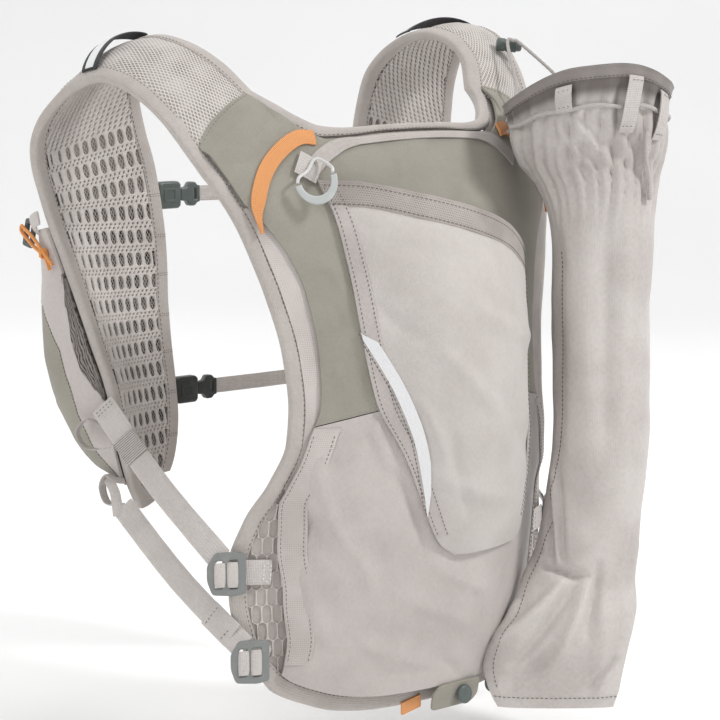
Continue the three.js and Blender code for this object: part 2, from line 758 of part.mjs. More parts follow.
add(
  "zip_pull_cord",
  COLOUR.white,
  cord(
    curve(
      onPull(-10.8, -2.2),
      onPull(-10, 1.5, -1.5),
      onPull(-5, 6, -7),
      onPull(-2, 12, -11.2),
      onPull(1, 13.6, -12),
      onPull(5, 11.6, -10.5),
      onPull(9.4, 7.8, -4),
      onPull(9.9, 4.6),
    ),
    14,
    1,
  ),
);
add(
  "zip_pull_tab",
  COLOUR.cloth,
  coverTape(
    coverY,
    [
      [92, -68.5],
      [86.5, -72],
      [81, -75.5],
    ],
    14,
    0.9,
    CLOTH_WALL + GAP + 1.2 + GAP,
  ),
);

// Side straps, their ladder locks and the anchors on the wings

const SIDE_STRAP_FACE = [0.8, 0.58, 0.13];
const SIDES = [
  { level: "upper", from: [150, -13, -222], lock: [139, 95, -313], anchorZ: -314, anchorX: 112 },
  { level: "lower", from: [136, -12, -288.5], lock: [134.3, 111, -364.7], anchorZ: -366, anchorX: 115 },
];
// A ladder lock in its own plane: hexagonal frame with a slot each side of the middle bar.
const LOCK_OUTLINE = [
  [-12, -4],
  [-9, -12.5],
  [4, -13.5],
  [11.5, -12],
  [11.5, 12],
  [4, 13.5],
  [-7, 13],
  [-12, 5],
];
const LOCK_HOLES = [box(-7.5, -8.4, -2.6, 8.3), box(1.4, -8.8, 6.4, 8.7)];
const LOCK_WALL = 3.2;
SIDES.forEach(({ level, from, lock, anchorZ, anchorX }) => {
  const edge = backAt("edgeX", anchorZ);
  const wing = onFace(linerY, edge - 6, anchorZ);
  const outwards = V(0, 0, 1).cross(wing.n).multiplyScalar(-1).normalize();
  const centre = V(...lock);
  addPair(
    `ladder_lock_${level}`,
    COLOUR.grey,
    plate(LOCK_OUTLINE, LOCK_HOLES, LOCK_WALL, lock, outwards.clone().negate().toArray(), [0, 0, 1]),
  );
  const strapEnd = centre
    .clone()
    .addScaledVector(outwards, 5.6)
    .add(V(0, 0, 15.6))
    .addScaledVector(V(...SIDE_STRAP_FACE), 2);
  const middle = V(...from).lerp(strapEnd, 0.5).add(V(2, 0, -2));
  addPair(
    `side_strap_${level}`,
    COLOUR.cloth,
    webbing(
      curve(from, middle.toArray(), strapEnd.toArray()),
      10,
      WEBBING_WIDTH,
      SIDE_STRAP_FACE,
    ),
  );
  const last = centre.clone().addScaledVector(outwards, -10).addScaledVector(wing.n, -2.6);
  const first = onFace(linerY, anchorX, anchorZ, 0.6 + WEBBING_WALL / 2).p;
  addPair(
    `wing_anchor_${level}`,
    COLOUR.cloth,
    webbing(
      curve(first.toArray(), first.clone().lerp(last, 0.5).toArray(), last.toArray()),
      4,
      WEBBING_WIDTH,
      wing.n.toArray(),
    ),
  );
});

// Small webbing loops below the flask pocket

[
  { name: "side_loop_upper", t: 15.7, reach: 15, out: 8, lean: 0.5 },
  { name: "side_loop_lower", t: 17.2, reach: 14, out: 7.6, lean: 0 },
].forEach(({ name, t, reach, out, lean }) => {
  const base = onStrap(t, 1).p;
  const at = (ahead, down) => [base.x + out + ahead * lean, base.y - ahead, base.z - down];
  const middle = V(...at(reach * 0.4, 5));
  addPair(
    name,
    COLOUR.cloth,
    webbing(
      curve(at(0, 0), at(reach * 0.6, -4), at(reach, 4), at(reach * 0.7, 13), at(1, 14)),
      9,
      6,
      (p) => p.clone().sub(middle),
      1,
    ),
  );
});

// Flask pockets on the front of the straps

const FLASK_FROM = 0.17;
const FLASK_TO = 0.985;
const flaskGrid = steps(11, 17.3, 10).map((t) =>
  steps(0, 1, 9).map((u) => {
    const v = mix(FLASK_FROM, FLASK_TO, u);
    const base = onStrap(t, v);
    const lift = read(FLASK, "station", "lift", t) * (1 - Math.abs(2 * u - 1) ** 3.6);
    return { p: base.p.clone().addScaledVector(base.n, FLASK_LIFT + lift), n: base.n };
  }),
);
// Frames of a grid with normals of the lifted surface itself.
function refreshed(grid) {
  const at = (i, j) => grid[i][j].p;
  return grid.map((row, i) =>
    row.map((f, j) => {
      const along = at(Math.min(i + 1, grid.length - 1), j).clone().sub(at(Math.max(i - 1, 0), j));
      const across = at(i, Math.min(j + 1, row.length - 1)).clone().sub(at(i, Math.max(j - 1, 0)));
      const n = along.cross(across).normalize();
      if (n.dot(f.n) < 0) n.negate();
      return { p: f.p, n };
    }),
  );
}
addPair("flask_pocket", COLOUR.olive, slab(refreshed(flaskGrid), CLOTH_WALL, 0));

// Flask closure: a strap from the arm-side edge forwards, a clip and a doubled pull cord with a knot

const closure = onStrap(10.9, 1).p;
const clipAt = V(closure.x - 6, closure.y - 27, closure.z - 8);
addPair(
  "flask_strap",
  COLOUR.cloth,
  webbing(
    curve(
      [closure.x + 3.2, closure.y - 7.4, closure.z + 2.4],
      [closure.x + 1.2, closure.y - 13, closure.z],
      [clipAt.x + 1.2, clipAt.y + 9.4, clipAt.z + 1.2],
    ),
    6,
    9,
    [1, 0.1, 0],
    1.2,
  ),
);
addPair(
  "flask_clip",
  COLOUR.slate,
  plate(
    [
      [-4.5, -9],
      [4.5, -9],
      [4.5, 9],
      [-4.5, 9],
    ],
    [box(-1.8, -6, 1.8, 6)],
    3,
    clipAt.toArray(),
    [0.1, -1, 0.25],
    [0, 0.25, 1],
  ),
);
const pull = (back, down, out) => [clipAt.x + out, clipAt.y + back, clipAt.z - down];
const pullLoop = cord(
  curve(
    pull(31, 17.5, 5),
    pull(25.5, 12.5, 5.8),
    pull(21, 8.8, 5.8),
    pull(10, 2, 4.4),
    pull(0, -2.5, 3.4),
    pull(-4, -4.6, 3.4),
    pull(-3.5, -0.5, 3.4),
    pull(9, 7, 4),
    pull(20.5, 13, 3.4),
    pull(26, 21, 3.6),
  ),
  20,
  1.25,
);
const knot = new THREE.SphereGeometry(3.4, 7, 5).translate(...pull(21, 11, 4.6));
addPair("flask_pull_cord", COLOUR.orange, union(pullLoop, knot));

// Sternum straps: socket at the left strap, plug and webbing to the right strap

const SOCKET = [
  [-9, -7.5],
  [-6.5, -8.8],
  [7, -8.8],
  [9, -7],
  [9, 7],
  [7, 8.8],
  [-6.5, 8.8],
  [-9, 7.5],
];
const PLUG = [
  [-8, -4],
  [-2.5, -4.6],
  [-0.5, -7.8],
  [4, -7.8],
  [6, -5.5],
  [8, -5.5],
  [8, 5.5],
  [6, 5.5],
  [4, 7.8],
  [-0.5, 7.8],
  [-2.5, 4.6],
  [-8, 4],
];
[
  { level: "upper", t: 10.55, y: -47, colour: COLOUR.slate },
  { level: "lower", t: 15.15, y: -41, colour: COLOUR.dark },
].forEach(({ level, t, y, colour }) => {
  const edge = onStrap(t, 0).p;
  const z = edge.z;
  const socketX = edge.x - 10.6;
  const plugX = socketX - 9 - GAP - 8;
  add(
    `sternum_${level}_socket`,
    colour,
    plate(SOCKET, [], 7, [socketX, y, z], [-1, 0, 0], [0, 0, 1]),
  );
  add(
    `sternum_${level}_plug`,
    colour,
    plate(PLUG, [box(3.2, -3.6, 5.2, 3.6)], 5, [plugX, y, z], [-1, 0, 0], [0, 0, 1]),
  );
  add(
    `sternum_${level}_webbing`,
    COLOUR.cloth,
    webbing(
      curve(
        [plugX - 8.4, y, z],
        [0, y - 4, z - 1],
        [-30, y - 4, z - 1],
        [-edge.x + 0.6, y, z],
      ),
      12,
      STERNUM_WIDTH,
      [0, -1, 0],
      1.2,
    ),
  );
});

// Webbing loops over the top of the shoulder straps

const loopRows = (right) =>
  steps(0.9, 0.03, 14).map((v, i) => {
    const lift = 1 + 4.5 * Math.sin((Math.PI * i) / 14) ** 0.7;
    const t = mix(4.7, 3.75, v);
    return [t, t + 0.7].map((s) => onStrap(s, v, lift, right));
  });
addStrapPair("reflective_loop", COLOUR.white, (right) => slab(loopRows(right), 1.2, 0));

// Cord lock and its cord on the right shoulder, which hold up the quiver

const lockFrame = mirrored(onStrap(1.5, 0.64, 8, 1));
const lockAxis = V(-0.75, 0.6, -0.1).normalize();
const barrel = new THREE.CylinderGeometry(4.4, 4.4, 17, 12).applyQuaternion(
  new THREE.Quaternion().setFromUnitVectors(V(0, 1, 0), lockAxis),
);
add("shoulder_cord_lock", COLOUR.slate, barrel.translate(...lockFrame.p.toArray()));
const below = lockFrame.p.clone().addScaledVector(lockFrame.n, 0.5);
add(
  "shoulder_cord",
  COLOUR.binding,
  cord(
    curve(
      [-88, 103, -50],
      [-112, 88, -30],
      [below.x + 8, below.y + 6, below.z + 1],
      [below.x + 3, below.y + 6.5, below.z + 3],
      [below.x - 1, below.y + 9, below.z + 1],
      [-150, 86, -20],
      [-141, 104, -29],
    ),
    22,
    1.1,
  ),
);

// Hem details under the right side of the lower panel

add(
  "orange_hem_tab",
  COLOUR.orange,
  plate(
    [
      [-8, -4.5],
      [8, -4.5],
      [8, 4.5],
      [-8, 4.5],
    ],
    [],
    1.4,
    onFace(linerY, 18, -409.5, 1.1).p.toArray(),
    [-1, 0.05, 0.2],
    [0, 0.2, 1],
  ),
);
add(
  "snap_flap",
  COLOUR.olive,
  plate(
    [
      [-20, -8],
      [14, -8],
      [20, -3],
      [20, 8],
      [-14, 8],
      [-20, 3],
    ],
    [],
    1.6,
    [-10, 138.5, -405.3],
    [-1, 0, 0],
    [0, 0.15, 1],
  ),
);
const snap = (x, y, z) =>
  new THREE.CylinderGeometry(6, 6, 3, 14).rotateX(0.12).translate(x, y, z);
add("snap_button_1", COLOUR.slate, snap(-15, 142.6, -405.8));
add("snap_button_2", COLOUR.slate, snap(-57, 125.2, -409.5));

export default vest;
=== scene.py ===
# Looks of the running hydration vest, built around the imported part.
# Shapes are worked out in millimetres in the part's frame and turned to metres as they become meshes.
import math

import bpy
import numpy as np
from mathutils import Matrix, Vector


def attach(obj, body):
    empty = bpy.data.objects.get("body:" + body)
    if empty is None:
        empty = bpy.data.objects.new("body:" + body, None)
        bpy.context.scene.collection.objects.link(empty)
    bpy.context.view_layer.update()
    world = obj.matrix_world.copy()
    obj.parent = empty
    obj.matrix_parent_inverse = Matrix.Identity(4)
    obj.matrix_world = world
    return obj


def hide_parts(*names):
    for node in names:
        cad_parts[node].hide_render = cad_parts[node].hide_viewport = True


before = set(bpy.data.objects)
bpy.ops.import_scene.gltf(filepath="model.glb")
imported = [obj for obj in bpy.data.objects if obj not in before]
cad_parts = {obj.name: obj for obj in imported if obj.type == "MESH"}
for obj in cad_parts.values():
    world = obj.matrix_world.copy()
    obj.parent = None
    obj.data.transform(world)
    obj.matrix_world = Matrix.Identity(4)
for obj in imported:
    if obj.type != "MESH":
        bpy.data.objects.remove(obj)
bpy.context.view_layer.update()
scene = bpy.context.scene
MM = 0.001
HALVES = (("left", 1), ("right", -1))

# Camera

AZIMUTH = 138
ELEVATION = 8
TARGET = Vector((0, 0.06, -0.2))
DISTANCE = 1.6
HALF_ANGLE = 8.2


def camera():
    a, e = math.radians(AZIMUTH), math.radians(ELEVATION)
    back = Vector((math.sin(a) * math.cos(e), -math.cos(a) * math.cos(e), math.sin(e)))
    data = bpy.data.cameras.new("camera")
    data.sensor_width = 36
    data.lens = 18 / math.tan(math.radians(HALF_ANGLE))
    data.clip_start, data.clip_end = 0.05, 50
    made = bpy.data.objects.new("camera", data)
    scene.collection.objects.link(made)
    made.location = TARGET + back * DISTANCE
    made.rotation_mode = "QUATERNION"
    made.rotation_quaternion = (-back).to_track_quat("-Z", "Y")
    scene.camera = made


camera()

# Sizes shared with the part

GAP = 0.3
SEAM_GAP = 1.0
BINDING_WIDTH = 9.5
LINER_WALL = 4.0
STRAP_WALL = 6.0
CLOTH_WALL = 1.6
COVER_LIFT = 1.3
POCKET_LIFT = 0.8
WEBBING_WIDTH = 15.5
STERNUM_WIDTH = 10.0
QUIVER_WALL = 1.6
FLASK_LIFT = 0.8
STRAP_END = 17.4


def columns(names, rows):
    """A table as one array per column, its first column rising."""
    return dict(zip(names.split(), np.array(rows, float).T))


# By level: the liner's side edge and middle, where the side seam runs, how far the cover stands off.
BACK = columns(
    "z edge_x edge_y mid_y seam stand",
    [
        (-408, 106, 107, 128, 0.95, 5),
        (-384, 117, 102, 128, 0.92, 11),
        (-372, 123, 99, 129, 0.86, 15),
        (-355, 130, 95, 130, 0.8, 19),
        (-329, 134, 91, 132, 0.79, 23),
        (-309, 134, 91, 134, 0.81, 24),
        (-285, 128, 97, 136, 0.86, 23),
        (-262, 119, 110, 137, 0.93, 22),
        (-235, 110, 118, 138, 0.9, 21),
        (-214, 108, 118, 138, 0.84, 19),
        (-183, 110, 115, 137, 0.82, 17),
        (-145, 119, 109, 134, 0.81, 13),
        (-125, 125, 104, 131.5, 0.83, 10),
        (-104, 132, 98, 128, 0.885, 8),
        (-80, 142, 87, 120, 0.96, 4.5),
        (-64, 148, 74, 115, 1, 4),
        (-48, 153, 60, 108, 1, 3.5),
        (-36, 156, 48, 96, 1, 3),
        (-26, 160, 33, 80, 1, 3),
    ],
)
# Edges of the liner and of its binding at the neck and the hem, by share of the half width.
NECK = columns(
    "share liner x z",
    [
        (0, -51.5, 0, -46.5),
        (0.17, -52, 25, -47),
        (0.355, -54, 50, -48),
        (0.48, -54.5, 67, -46.5),
        (0.575, -48.5, 79, -39.5),
        (0.625, -41, 86, -33),
        (0.672, -32.5, 92, -26),
    ],
)
HEM = columns(
    "share liner x z",
    [
        (0, -398, 0, -408),
        (0.4, -397.5, 43, -407.5),
        (0.65, -394.5, 72, -404.5),
        (0.85, -387, 96, -396.5),
        (0.95, -379, 112, -388),
        (1, -368, 124.5, -368),
    ],
)
# One row per strap station: neck-side edge, arm-side edge, crown, extra height of the right strap's edge.
STRAP = np.array(
    [
        (92, 64.5, -26, 146, 79, -68, 6, 4),
        (101, 50, -10, 154, 57, -43, 6, 16),
        (106, 34, -0.5, 160, 33, -26.5, 6, 24),
        (109, 17, 5, 163, 14, -20, 6, 27),
        (110, 0, 7, 165, -2, -19, 6, 25),
        (109, -18, 4.5, 168, -19, -24.5, 6, 18),
        (105, -33, -4, 172, -31, -33, 5, 10),
        (99, -43, -17, 177, -41, -46, 4, 4),
        (95, -48, -35, 179, -46, -60, 3, 0),
        (90, -48, -56, 178, -46.5, -75, 3, 0),
        (85, -45, -78, 175, -44, -91, 4, 0),
        (80, -43, -112, 170, -40.5, -111.5, 5, 0),
        (77, -44, -138, 163, -35, -137, 6, 0),
        (76, -45, -163, 157.5, -28.5, -162, 7, 0),
        (74, -45, -193, 150, -21, -194, 7, 0),
        (74, -41, -220, 144, -17, -218, 6, 0),
        (76, -36, -245, 136, -21, -245, 5, 0),
        (84, -31, -269, 126, -25, -271, 3, 0),
        (97, -29, -286, 119, -27, -289, 1, 0),
        (103, -28.5, -294, 115, -27.5, -295, 0, 0),
    ],
    float,
)
# By level: the back pocket's half widths and its lift off the cover.
POCKET = columns(
    "z left right lift",
    [
        (-308, 14, 46, 2),
        (-300, 25, 56, 5),
        (-276, 36, 60, 10),
        (-250, 46, 62, 15),
        (-210, 63, 64, 20),
        (-170, 69, 68, 22),
        (-128, 74, 73, 23),
        (-92, 80, 80, 22),
        (-78, 84, 84, 20),
    ],
)
POCKET_BOTTOM = -308
POCKET_MOUTH = columns(
    "share z",
    [(-1, -131), (-0.75, -122), (-0.4, -108), (0, -97), (0.45, -87), (0.8, -80), (1, -79)],
)
# By level: the quiver's centre and its half width across and along the camera's view.
QUIVER = columns(
    "z x y wide deep",
    [
        (-418, -68, 171, 37, 4.5),
        (-405, -68, 170, 42, 8),
        (-388, -71, 168, 45, 11),
        (-360, -83, 170, 40, 15),
        (-338, -93, 166, 36.5, 18),
        (-316, -102, 166, 33, 22),
        (-291, -104, 168, 31.5, 24),
        (-250, -106, 171.5, 30.5, 25),
        (-174, -108, 169, 30.5, 26),
        (-124, -108, 169, 32, 27),
        (-103, -108, 168, 34, 29),
        (-87, -108, 165, 38, 32),
        (-74, -108, 159, 44, 36),
        (-60, -108, 157, 48, 40),
        (-48, -108, 155, 50, 44),
        (-38, -108, 155, 53, 46),
    ],
)
QUIVER_TOP = -38
QUIVER_FOOT = -418
QUIVER_CINCH = -53
RIM_ARCH = 19
RIM_TILT = 7
RIM_SLANT = 11
# By strap station: how far the flask pocket stands off the strap.
FLASK = columns(
    "station lift",
    [(11, 22), (12, 31), (13, 38), (14, 43), (15, 43), (16, 38), (16.7, 28), (17.3, 0)],
)
FLASK_FROM = 0.17
FLASK_TO = 0.985

# Curves and surfaces, all on arrays


def mix(a, b, t):
    return a + (b - a) * t


def ease(t):
    s = np.clip(t, 0, 1)
    return s * s * (3 - 2 * s)


def unit(v):
    v = np.asarray(v, float)
    return v / np.maximum(np.linalg.norm(v, axis=-1, keepdims=True), 1e-9)


def run_along(points):
    """The length run from the first point to each point."""
    return np.concatenate([[0], np.cumsum(np.linalg.norm(np.diff(points, axis=0), axis=-1))])


def read(table, key, column, at):
    """A table's column along a smooth curve without overshoot."""
    xs, ys = table[key], table[column]
    at = np.clip(np.asarray(at, float), xs[0], xs[-1])
    chord = np.diff(ys) / np.diff(xs)
    a, b = chord[:-1], chord[1:]
    total = np.where(np.abs(a + b) < 1e-12, 1, a + b)
    inner = np.where(a * b <= 0, 0, 2 * a * b / total)
    slope = np.concatenate([chord[:1], inner, chord[-1:]])
    i = np.clip(np.searchsorted(xs, at, side="right") - 1, 0, len(xs) - 2)
    span = xs[i + 1] - xs[i]
    t = (at - xs[i]) / span
    return (
        (2 * t**3 - 3 * t * t + 1) * ys[i]
        + (t**3 - 2 * t * t + t) * slope[i] * span
        + (3 * t * t - 2 * t**3) * ys[i + 1]
        + (t**3 - t * t) * slope[i + 1] * span
    )


def back_at(column, z):
    return read(BACK, "z", column, z)


def liner_y(x, z):
    mid = back_at("mid_y", z)
    return mid - (mid - back_at("edge_y", z)) * (np.abs(x) / back_at("edge_x", z)) ** 2


def seam_x(z):
    edge = back_at("edge_x", z)
    return np.minimum(back_at("seam", z) * edge, edge - BINDING_WIDTH - 2 * GAP)


def cover_y(x, z):
    q = np.minimum(1, np.abs(x) / seam_x(z))
    return liner_y(x, z) + COVER_LIFT + back_at("stand", z) * (1 - q * q)


def pocket_half(x, z):
    right, left = read(POCKET, "z", "right", z), read(POCKET, "z", "left", z)
    return np.where(np.asarray(x) < 0, right, left)


def pocket_y(x, z):
    q = np.minimum(1, np.abs(x) / pocket_half(x, z))
    return cover_y(x, z) + CLOTH_WALL + POCKET_LIFT + read(POCKET, "z", "lift", z) * (1 - q * q)


def on_face(face, x, z, lift=0.0):
    """Points and outward normals on a face that looks to the back."""
    x, z = np.broadcast_arrays(np.asarray(x, float), np.asarray(z, float))
    d = 0.5
    gx = (face(x - d, z) - face(x + d, z)) / (2 * d)
    gz = (face(x, z - d) - face(x, z + d)) / (2 * d)
    normal = unit(np.stack([gx, np.ones_like(gx), gz], -1))
    return np.stack([x, face(x, z), z], -1) + normal * np.asarray(lift)[..., None], normal


def between_keys(keys, at):
    """The smooth curve through key values numbered 0, 1, 2 and so on."""
    top = len(keys) - 1
    s = np.clip(at, 0, top)
    i = np.minimum(top - 1, np.floor(s).astype(int))
    f = (s - i).reshape(s.shape + (1,) * (keys.ndim - 1))
    before, a, b, after = (keys[np.clip(i + k, 0, top)] for k in (-1, 0, 1, 2))
    bend = 2 * before - 5 * a + 4 * b - after + f * (3 * (a - b) + after - before)
    return a + 0.5 * f * (b - before + f * bend)


def station(column, t):
    return between_keys(STRAP[:, column], t)


def strap_raw(t, v, right):
    def at(s):
        neck = np.stack([station(k, s) for k in (0, 1, 2)], -1)
        arm = np.stack([station(3, s), station(4, s), station(5, s) + right * station(7, s)], -1)
        return neck, arm

    neck, arm = at(t)
    ahead = sum(at(np.minimum(t + 0.5, len(STRAP) - 1)))
    behind = sum(at(np.maximum(t - 0.5, 0)))
    up = unit(np.cross(ahead - behind, arm - neck))
    rise = station(6, t) * 4 * v * (1 - v)
    return mix(neck, arm, v[..., None]) + up * rise[..., None]


def strap_point(t, v, right):
    point = strap_raw(t, v, right)
    x = mix(STRAP[0, 0], STRAP[0, 3], v)
    z = mix(STRAP[0, 2], STRAP[0, 5], v)
    step = np.stack([x, liner_y(x, z), z], -1) - strap_raw(np.zeros_like(t), v, right)
    return point + step * (1 - ease(t / 2))[..., None] * (t < 2)[..., None]


def on_strap(t, v, lift=0.0, right=0):
    """Points and normals on the left strap's outer face; right=1 gives the mirror of the right strap."""
    t, v = np.broadcast_arrays(np.asarray(t, float), np.asarray(v, float))
    d = 0.06
    along = strap_point(t + d, v, right) - strap_point(t - d, v, right)
    across = strap_point(t, v + d, right) - strap_point(t, v - d, right)
    normal = unit(np.cross(along, across))
    return strap_point(t, v, right) + normal * np.asarray(lift)[..., None], normal


def strap_width(t, right=0):
    t = np.asarray(t, float)
    ends = [strap_point(t, np.full_like(t, v), right) for v in (0.0, 1.0)]
    return np.linalg.norm(ends[0] - ends[1], axis=-1)


ACROSS_VIEW = np.array([-0.743, 0.669, 0.0])
ALONG_VIEW = np.array([0.669, 0.743, 0.0])


def on_quiver(degrees, z, lift=0.0):
    """Points and outward normals on the quiver by angle round it and level."""
    degrees, z = np.broadcast_arrays(np.asarray(degrees, float), np.asarray(z, float))

    def point(deg, level, add):
        angle = np.radians(deg)
        c, s = np.cos(angle), np.sin(angle)
        x, y, wide, deep = (read(QUIVER, "z", k, level) for k in ("x", "y", "wide", "deep"))
        slant = RIM_SLANT * ease((c + 0.12) / 1.1)
        rise = ease((level + 74) / 36) * (RIM_ARCH * s * s + RIM_TILT * s + slant)
        centre = np.stack([x, y, level + rise], -1)
        reach = (np.maximum(2, wide + add) * c)[..., None] * ACROSS_VIEW
        return centre + reach + (np.maximum(1.2, deep + add) * s)[..., None] * ALONG_VIEW

    zero = np.zeros_like(degrees)
    around = point(degrees + 1.5, z, zero) - point(degrees - 1.5, z, zero)
    above, below = np.minimum(z + 1.5, QUIVER_TOP), np.maximum(z - 1.5, QUIVER_FOOT)
    up = point(degrees, above, zero) - point(degrees, below, zero)
    normal = unit(np.cross(around, up))
    outward = point(degrees, z, zero + 1) - point(degrees, z, zero)
    normal = normal * np.sign((normal * outward).sum(-1))[..., None]
    return point(degrees, z, zero) + normal * np.asarray(lift)[..., None], normal


def along_strap():
    """Length along the middle of the strap by station, for laying out its nets."""
    t = np.linspace(0, STRAP_END, 400)
    middle = strap_point(t, np.full_like(t, 0.5), 0)
    return t, run_along(middle)


STATIONS, RUN = along_strap()
BRAID_END = float(np.interp(8.6, STATIONS, RUN))

# Folds, creases and unevenness, in millimetres


WAVES = 9


def unevenness(u, v, size, seed):
    """A smooth random surface between about -1 and 1, its bumps this many millimetres long."""
    chance = np.random.default_rng(seed)
    total = np.zeros(np.broadcast(u, v).shape)
    for _ in range(WAVES):
        angle = chance.uniform(0, 2 * math.pi)
        wave = 2 * math.pi / (size * chance.uniform(0.6, 1.7))
        phase = chance.uniform(0, 2 * math.pi)
        total = total + np.sin(wave * (u * math.cos(angle) + v * math.sin(angle)) + phase)
    return total / (WAVES / 2)


def crease(u, v, start, end, width, bend=0.0):
    """A long fold from start to end, 1 on its line and falling off over width; bend bows it sideways."""
    a, b = np.array(start, float), np.array(end, float)
    along = b - a
    length = math.hypot(*along)
    along = along / length
    du, dv = u - a[0], v - a[1]
    s = (du * along[0] + dv * along[1]) / length
    side = dv * along[0] - du * along[1] - bend * 4 * s * (1 - s)
    taper = np.clip(np.sin(np.pi * np.clip(s, 0, 1)), 0, 1) ** 0.6
    return np.exp(-((side / width) ** 2)) * taper


# Meshes


def to_object(name, verts, faces, uvs=None, smooth=35.0):
    """A mesh object from millimetre points; uvs holds one pair per vertex and smooth is the sharp angle."""
    mesh = bpy.data.meshes.new(name)
    mesh.from_pydata((np.asarray(verts, float) * MM).tolist(), [], [tuple(map(int, f)) for f in faces])
    if uvs is not None:
        layer = mesh.uv_layers.new(name="cloth")
        index = np.zeros(len(mesh.loops), int)
        mesh.loops.foreach_get("vertex_index", index)
        layer.data.foreach_set("uv", np.asarray(uvs, float)[index].ravel())
    mesh.polygons.foreach_set("use_smooth", [True] * len(mesh.polygons))
    mesh.validate()
    mesh.set_sharp_from_angle(angle=math.radians(smooth))
    made = bpy.data.objects.new(name, mesh)
    scene.collection.objects.link(made)
    return made


def finish_piece(made, material, nodes):
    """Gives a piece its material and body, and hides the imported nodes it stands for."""
    made.data.materials.append(material)
    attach(made, "root")
    if nodes:
        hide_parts(*nodes)
    return made


class Shape:
    """Collects vertices, faces and uvs of one piece."""

    def __init__(self):
        self.verts, self.faces, self.uvs, self.count = [], [], [], 0

    def add(self, verts, faces, uvs=None):
        verts = np.asarray(verts, float).reshape(-1, 3)
        self.verts.append(verts)
        self.faces.extend([tuple(i + self.count for i in f) for f in faces])
        flat = np.zeros((len(verts), 2)) if uvs is None else np.asarray(uvs, float).reshape(-1, 2)
        self.uvs.append(flat)
        self.count += len(verts)
        return self

    def mirror(self):
        made = Shape()
        flip = np.array([-1.0, 1, 1])
        made.add(
            np.concatenate(self.verts) * flip,
            [tuple(reversed(f)) for f in self.faces],
            np.concatenate(self.uvs),
        )
        return made

    def take(self, other):
        """Adds all of another shape."""
        return self.add(np.concatenate(other.verts), other.faces, np.concatenate(other.uvs))

    def piece(self, name, material, slot, nodes=(), smooth=35.0):
        made = to_object(name, np.concatenate(self.verts), self.faces, np.concatenate(self.uvs), smooth)
        return finish_piece(made, material, nodes)


def grid_faces(rows, cols, start=0, flip=False, loop=False):
    """Four-sided faces of a grid of vertices; loop joins its last column to its first."""
    last = cols if loop else cols - 1
    i, j = np.meshgrid(np.arange(rows - 1), np.arange(last), indexing="ij")
    k = (j + 1) % cols
    a, b = start + i * cols + j, start + (i + 1) * cols + j
    c, d = start + (i + 1) * cols + k, start + i * cols + k
    order = (a, d, c, b) if flip else (a, b, c, d)
    return np.stack([x.ravel() for x in order], -1).tolist()


def slab(outer, inner, uv):
    """A closed wall between two grids of points of the same size."""
    rows, cols = outer.shape[:2]
    under = rows * cols
    faces = grid_faces(rows, cols) + grid_faces(rows, cols, under, flip=True)
    rim = list(range(cols - 1))
    rim += [i * cols + cols - 1 for i in range(rows - 1)]
    rim += [(rows - 1) * cols + j for j in range(cols - 1, 0, -1)]
    rim += [i * cols for i in range(rows - 1, 0, -1)]
    for k, a in enumerate(rim):
        b = rim[(k + 1) % len(rim)]
        faces.append((a, b, under + b, under + a))
    shape = Shape()
    shape.add(np.concatenate([outer.reshape(-1, 3), inner.reshape(-1, 3)]), faces, np.concatenate([uv, uv]))
    first = np.cross(outer[1, 0] - outer[0, 0], outer[0, 1] - outer[0, 0])
    if np.dot(first, outer[0, 0] - inner[0, 0]) < 0:
        shape.faces = [tuple(reversed(f)) for f in shape.faces]
    return shape


def uv_grid(across, along):
    """Uvs in centimetres, one pair per point of a grid, from lengths across and along it."""
    return np.stack(np.meshgrid(across / 10, along / 10), -1).reshape(-1, 2)


def lengths_uv(points):
    """Uvs in centimetres from the middle row's and column's own lengths."""
    rows, cols = points.shape[:2]
    return uv_grid(run_along(points[rows // 2]), run_along(points[:, cols // 2]))


def wall(points, normals, out, inner, uv=None):
    """The slab between two lifts over one grid; either lift may vary over the grid."""
    uv = lengths_uv(points) if uv is None else uv.reshape(-1, 2)

    def lifted(by):
        return points + normals * np.broadcast_to(np.asarray(by, float), points.shape[:2])[..., None]

    return slab(lifted(out), lifted(inner), uv)


def renormal(points, normals):
    """Normals of a displaced grid itself, on the side of the given ones."""
    along, across = np.gradient(points, axis=0), np.gradient(points, axis=1)
    fresh = unit(np.cross(along, across))
    return fresh * np.sign((fresh * normals).sum(-1) + 1e-9)[..., None]


DENSE_STEPS = 40


def catmull(keys, count):
    """count points on an even-length smooth curve through the key points."""
    keys = np.asarray(keys, float)
    top = len(keys) - 1
    dense = between_keys(keys, np.linspace(0, top, DENSE_STEPS * top + 1))
    lead = dense.reshape(len(dense), -1)
    run = run_along(lead)
    at = np.linspace(0, run[-1], count)
    flat = np.stack([np.interp(at, run, lead[:, c]) for c in range(lead.shape[1])], -1)
    return flat.reshape((count,) + keys.shape[1:])


def path_frames(path, hint):
    """Tangents, normals that lean toward the hint, and sideways directions along a path."""
    tangent = unit(np.gradient(path, axis=0))
    hint = np.broadcast_to(np.asarray(hint, float), path.shape)
    normal = unit(hint - tangent * (hint * tangent).sum(-1)[:, None])
    return tangent, normal, np.cross(normal, tangent)


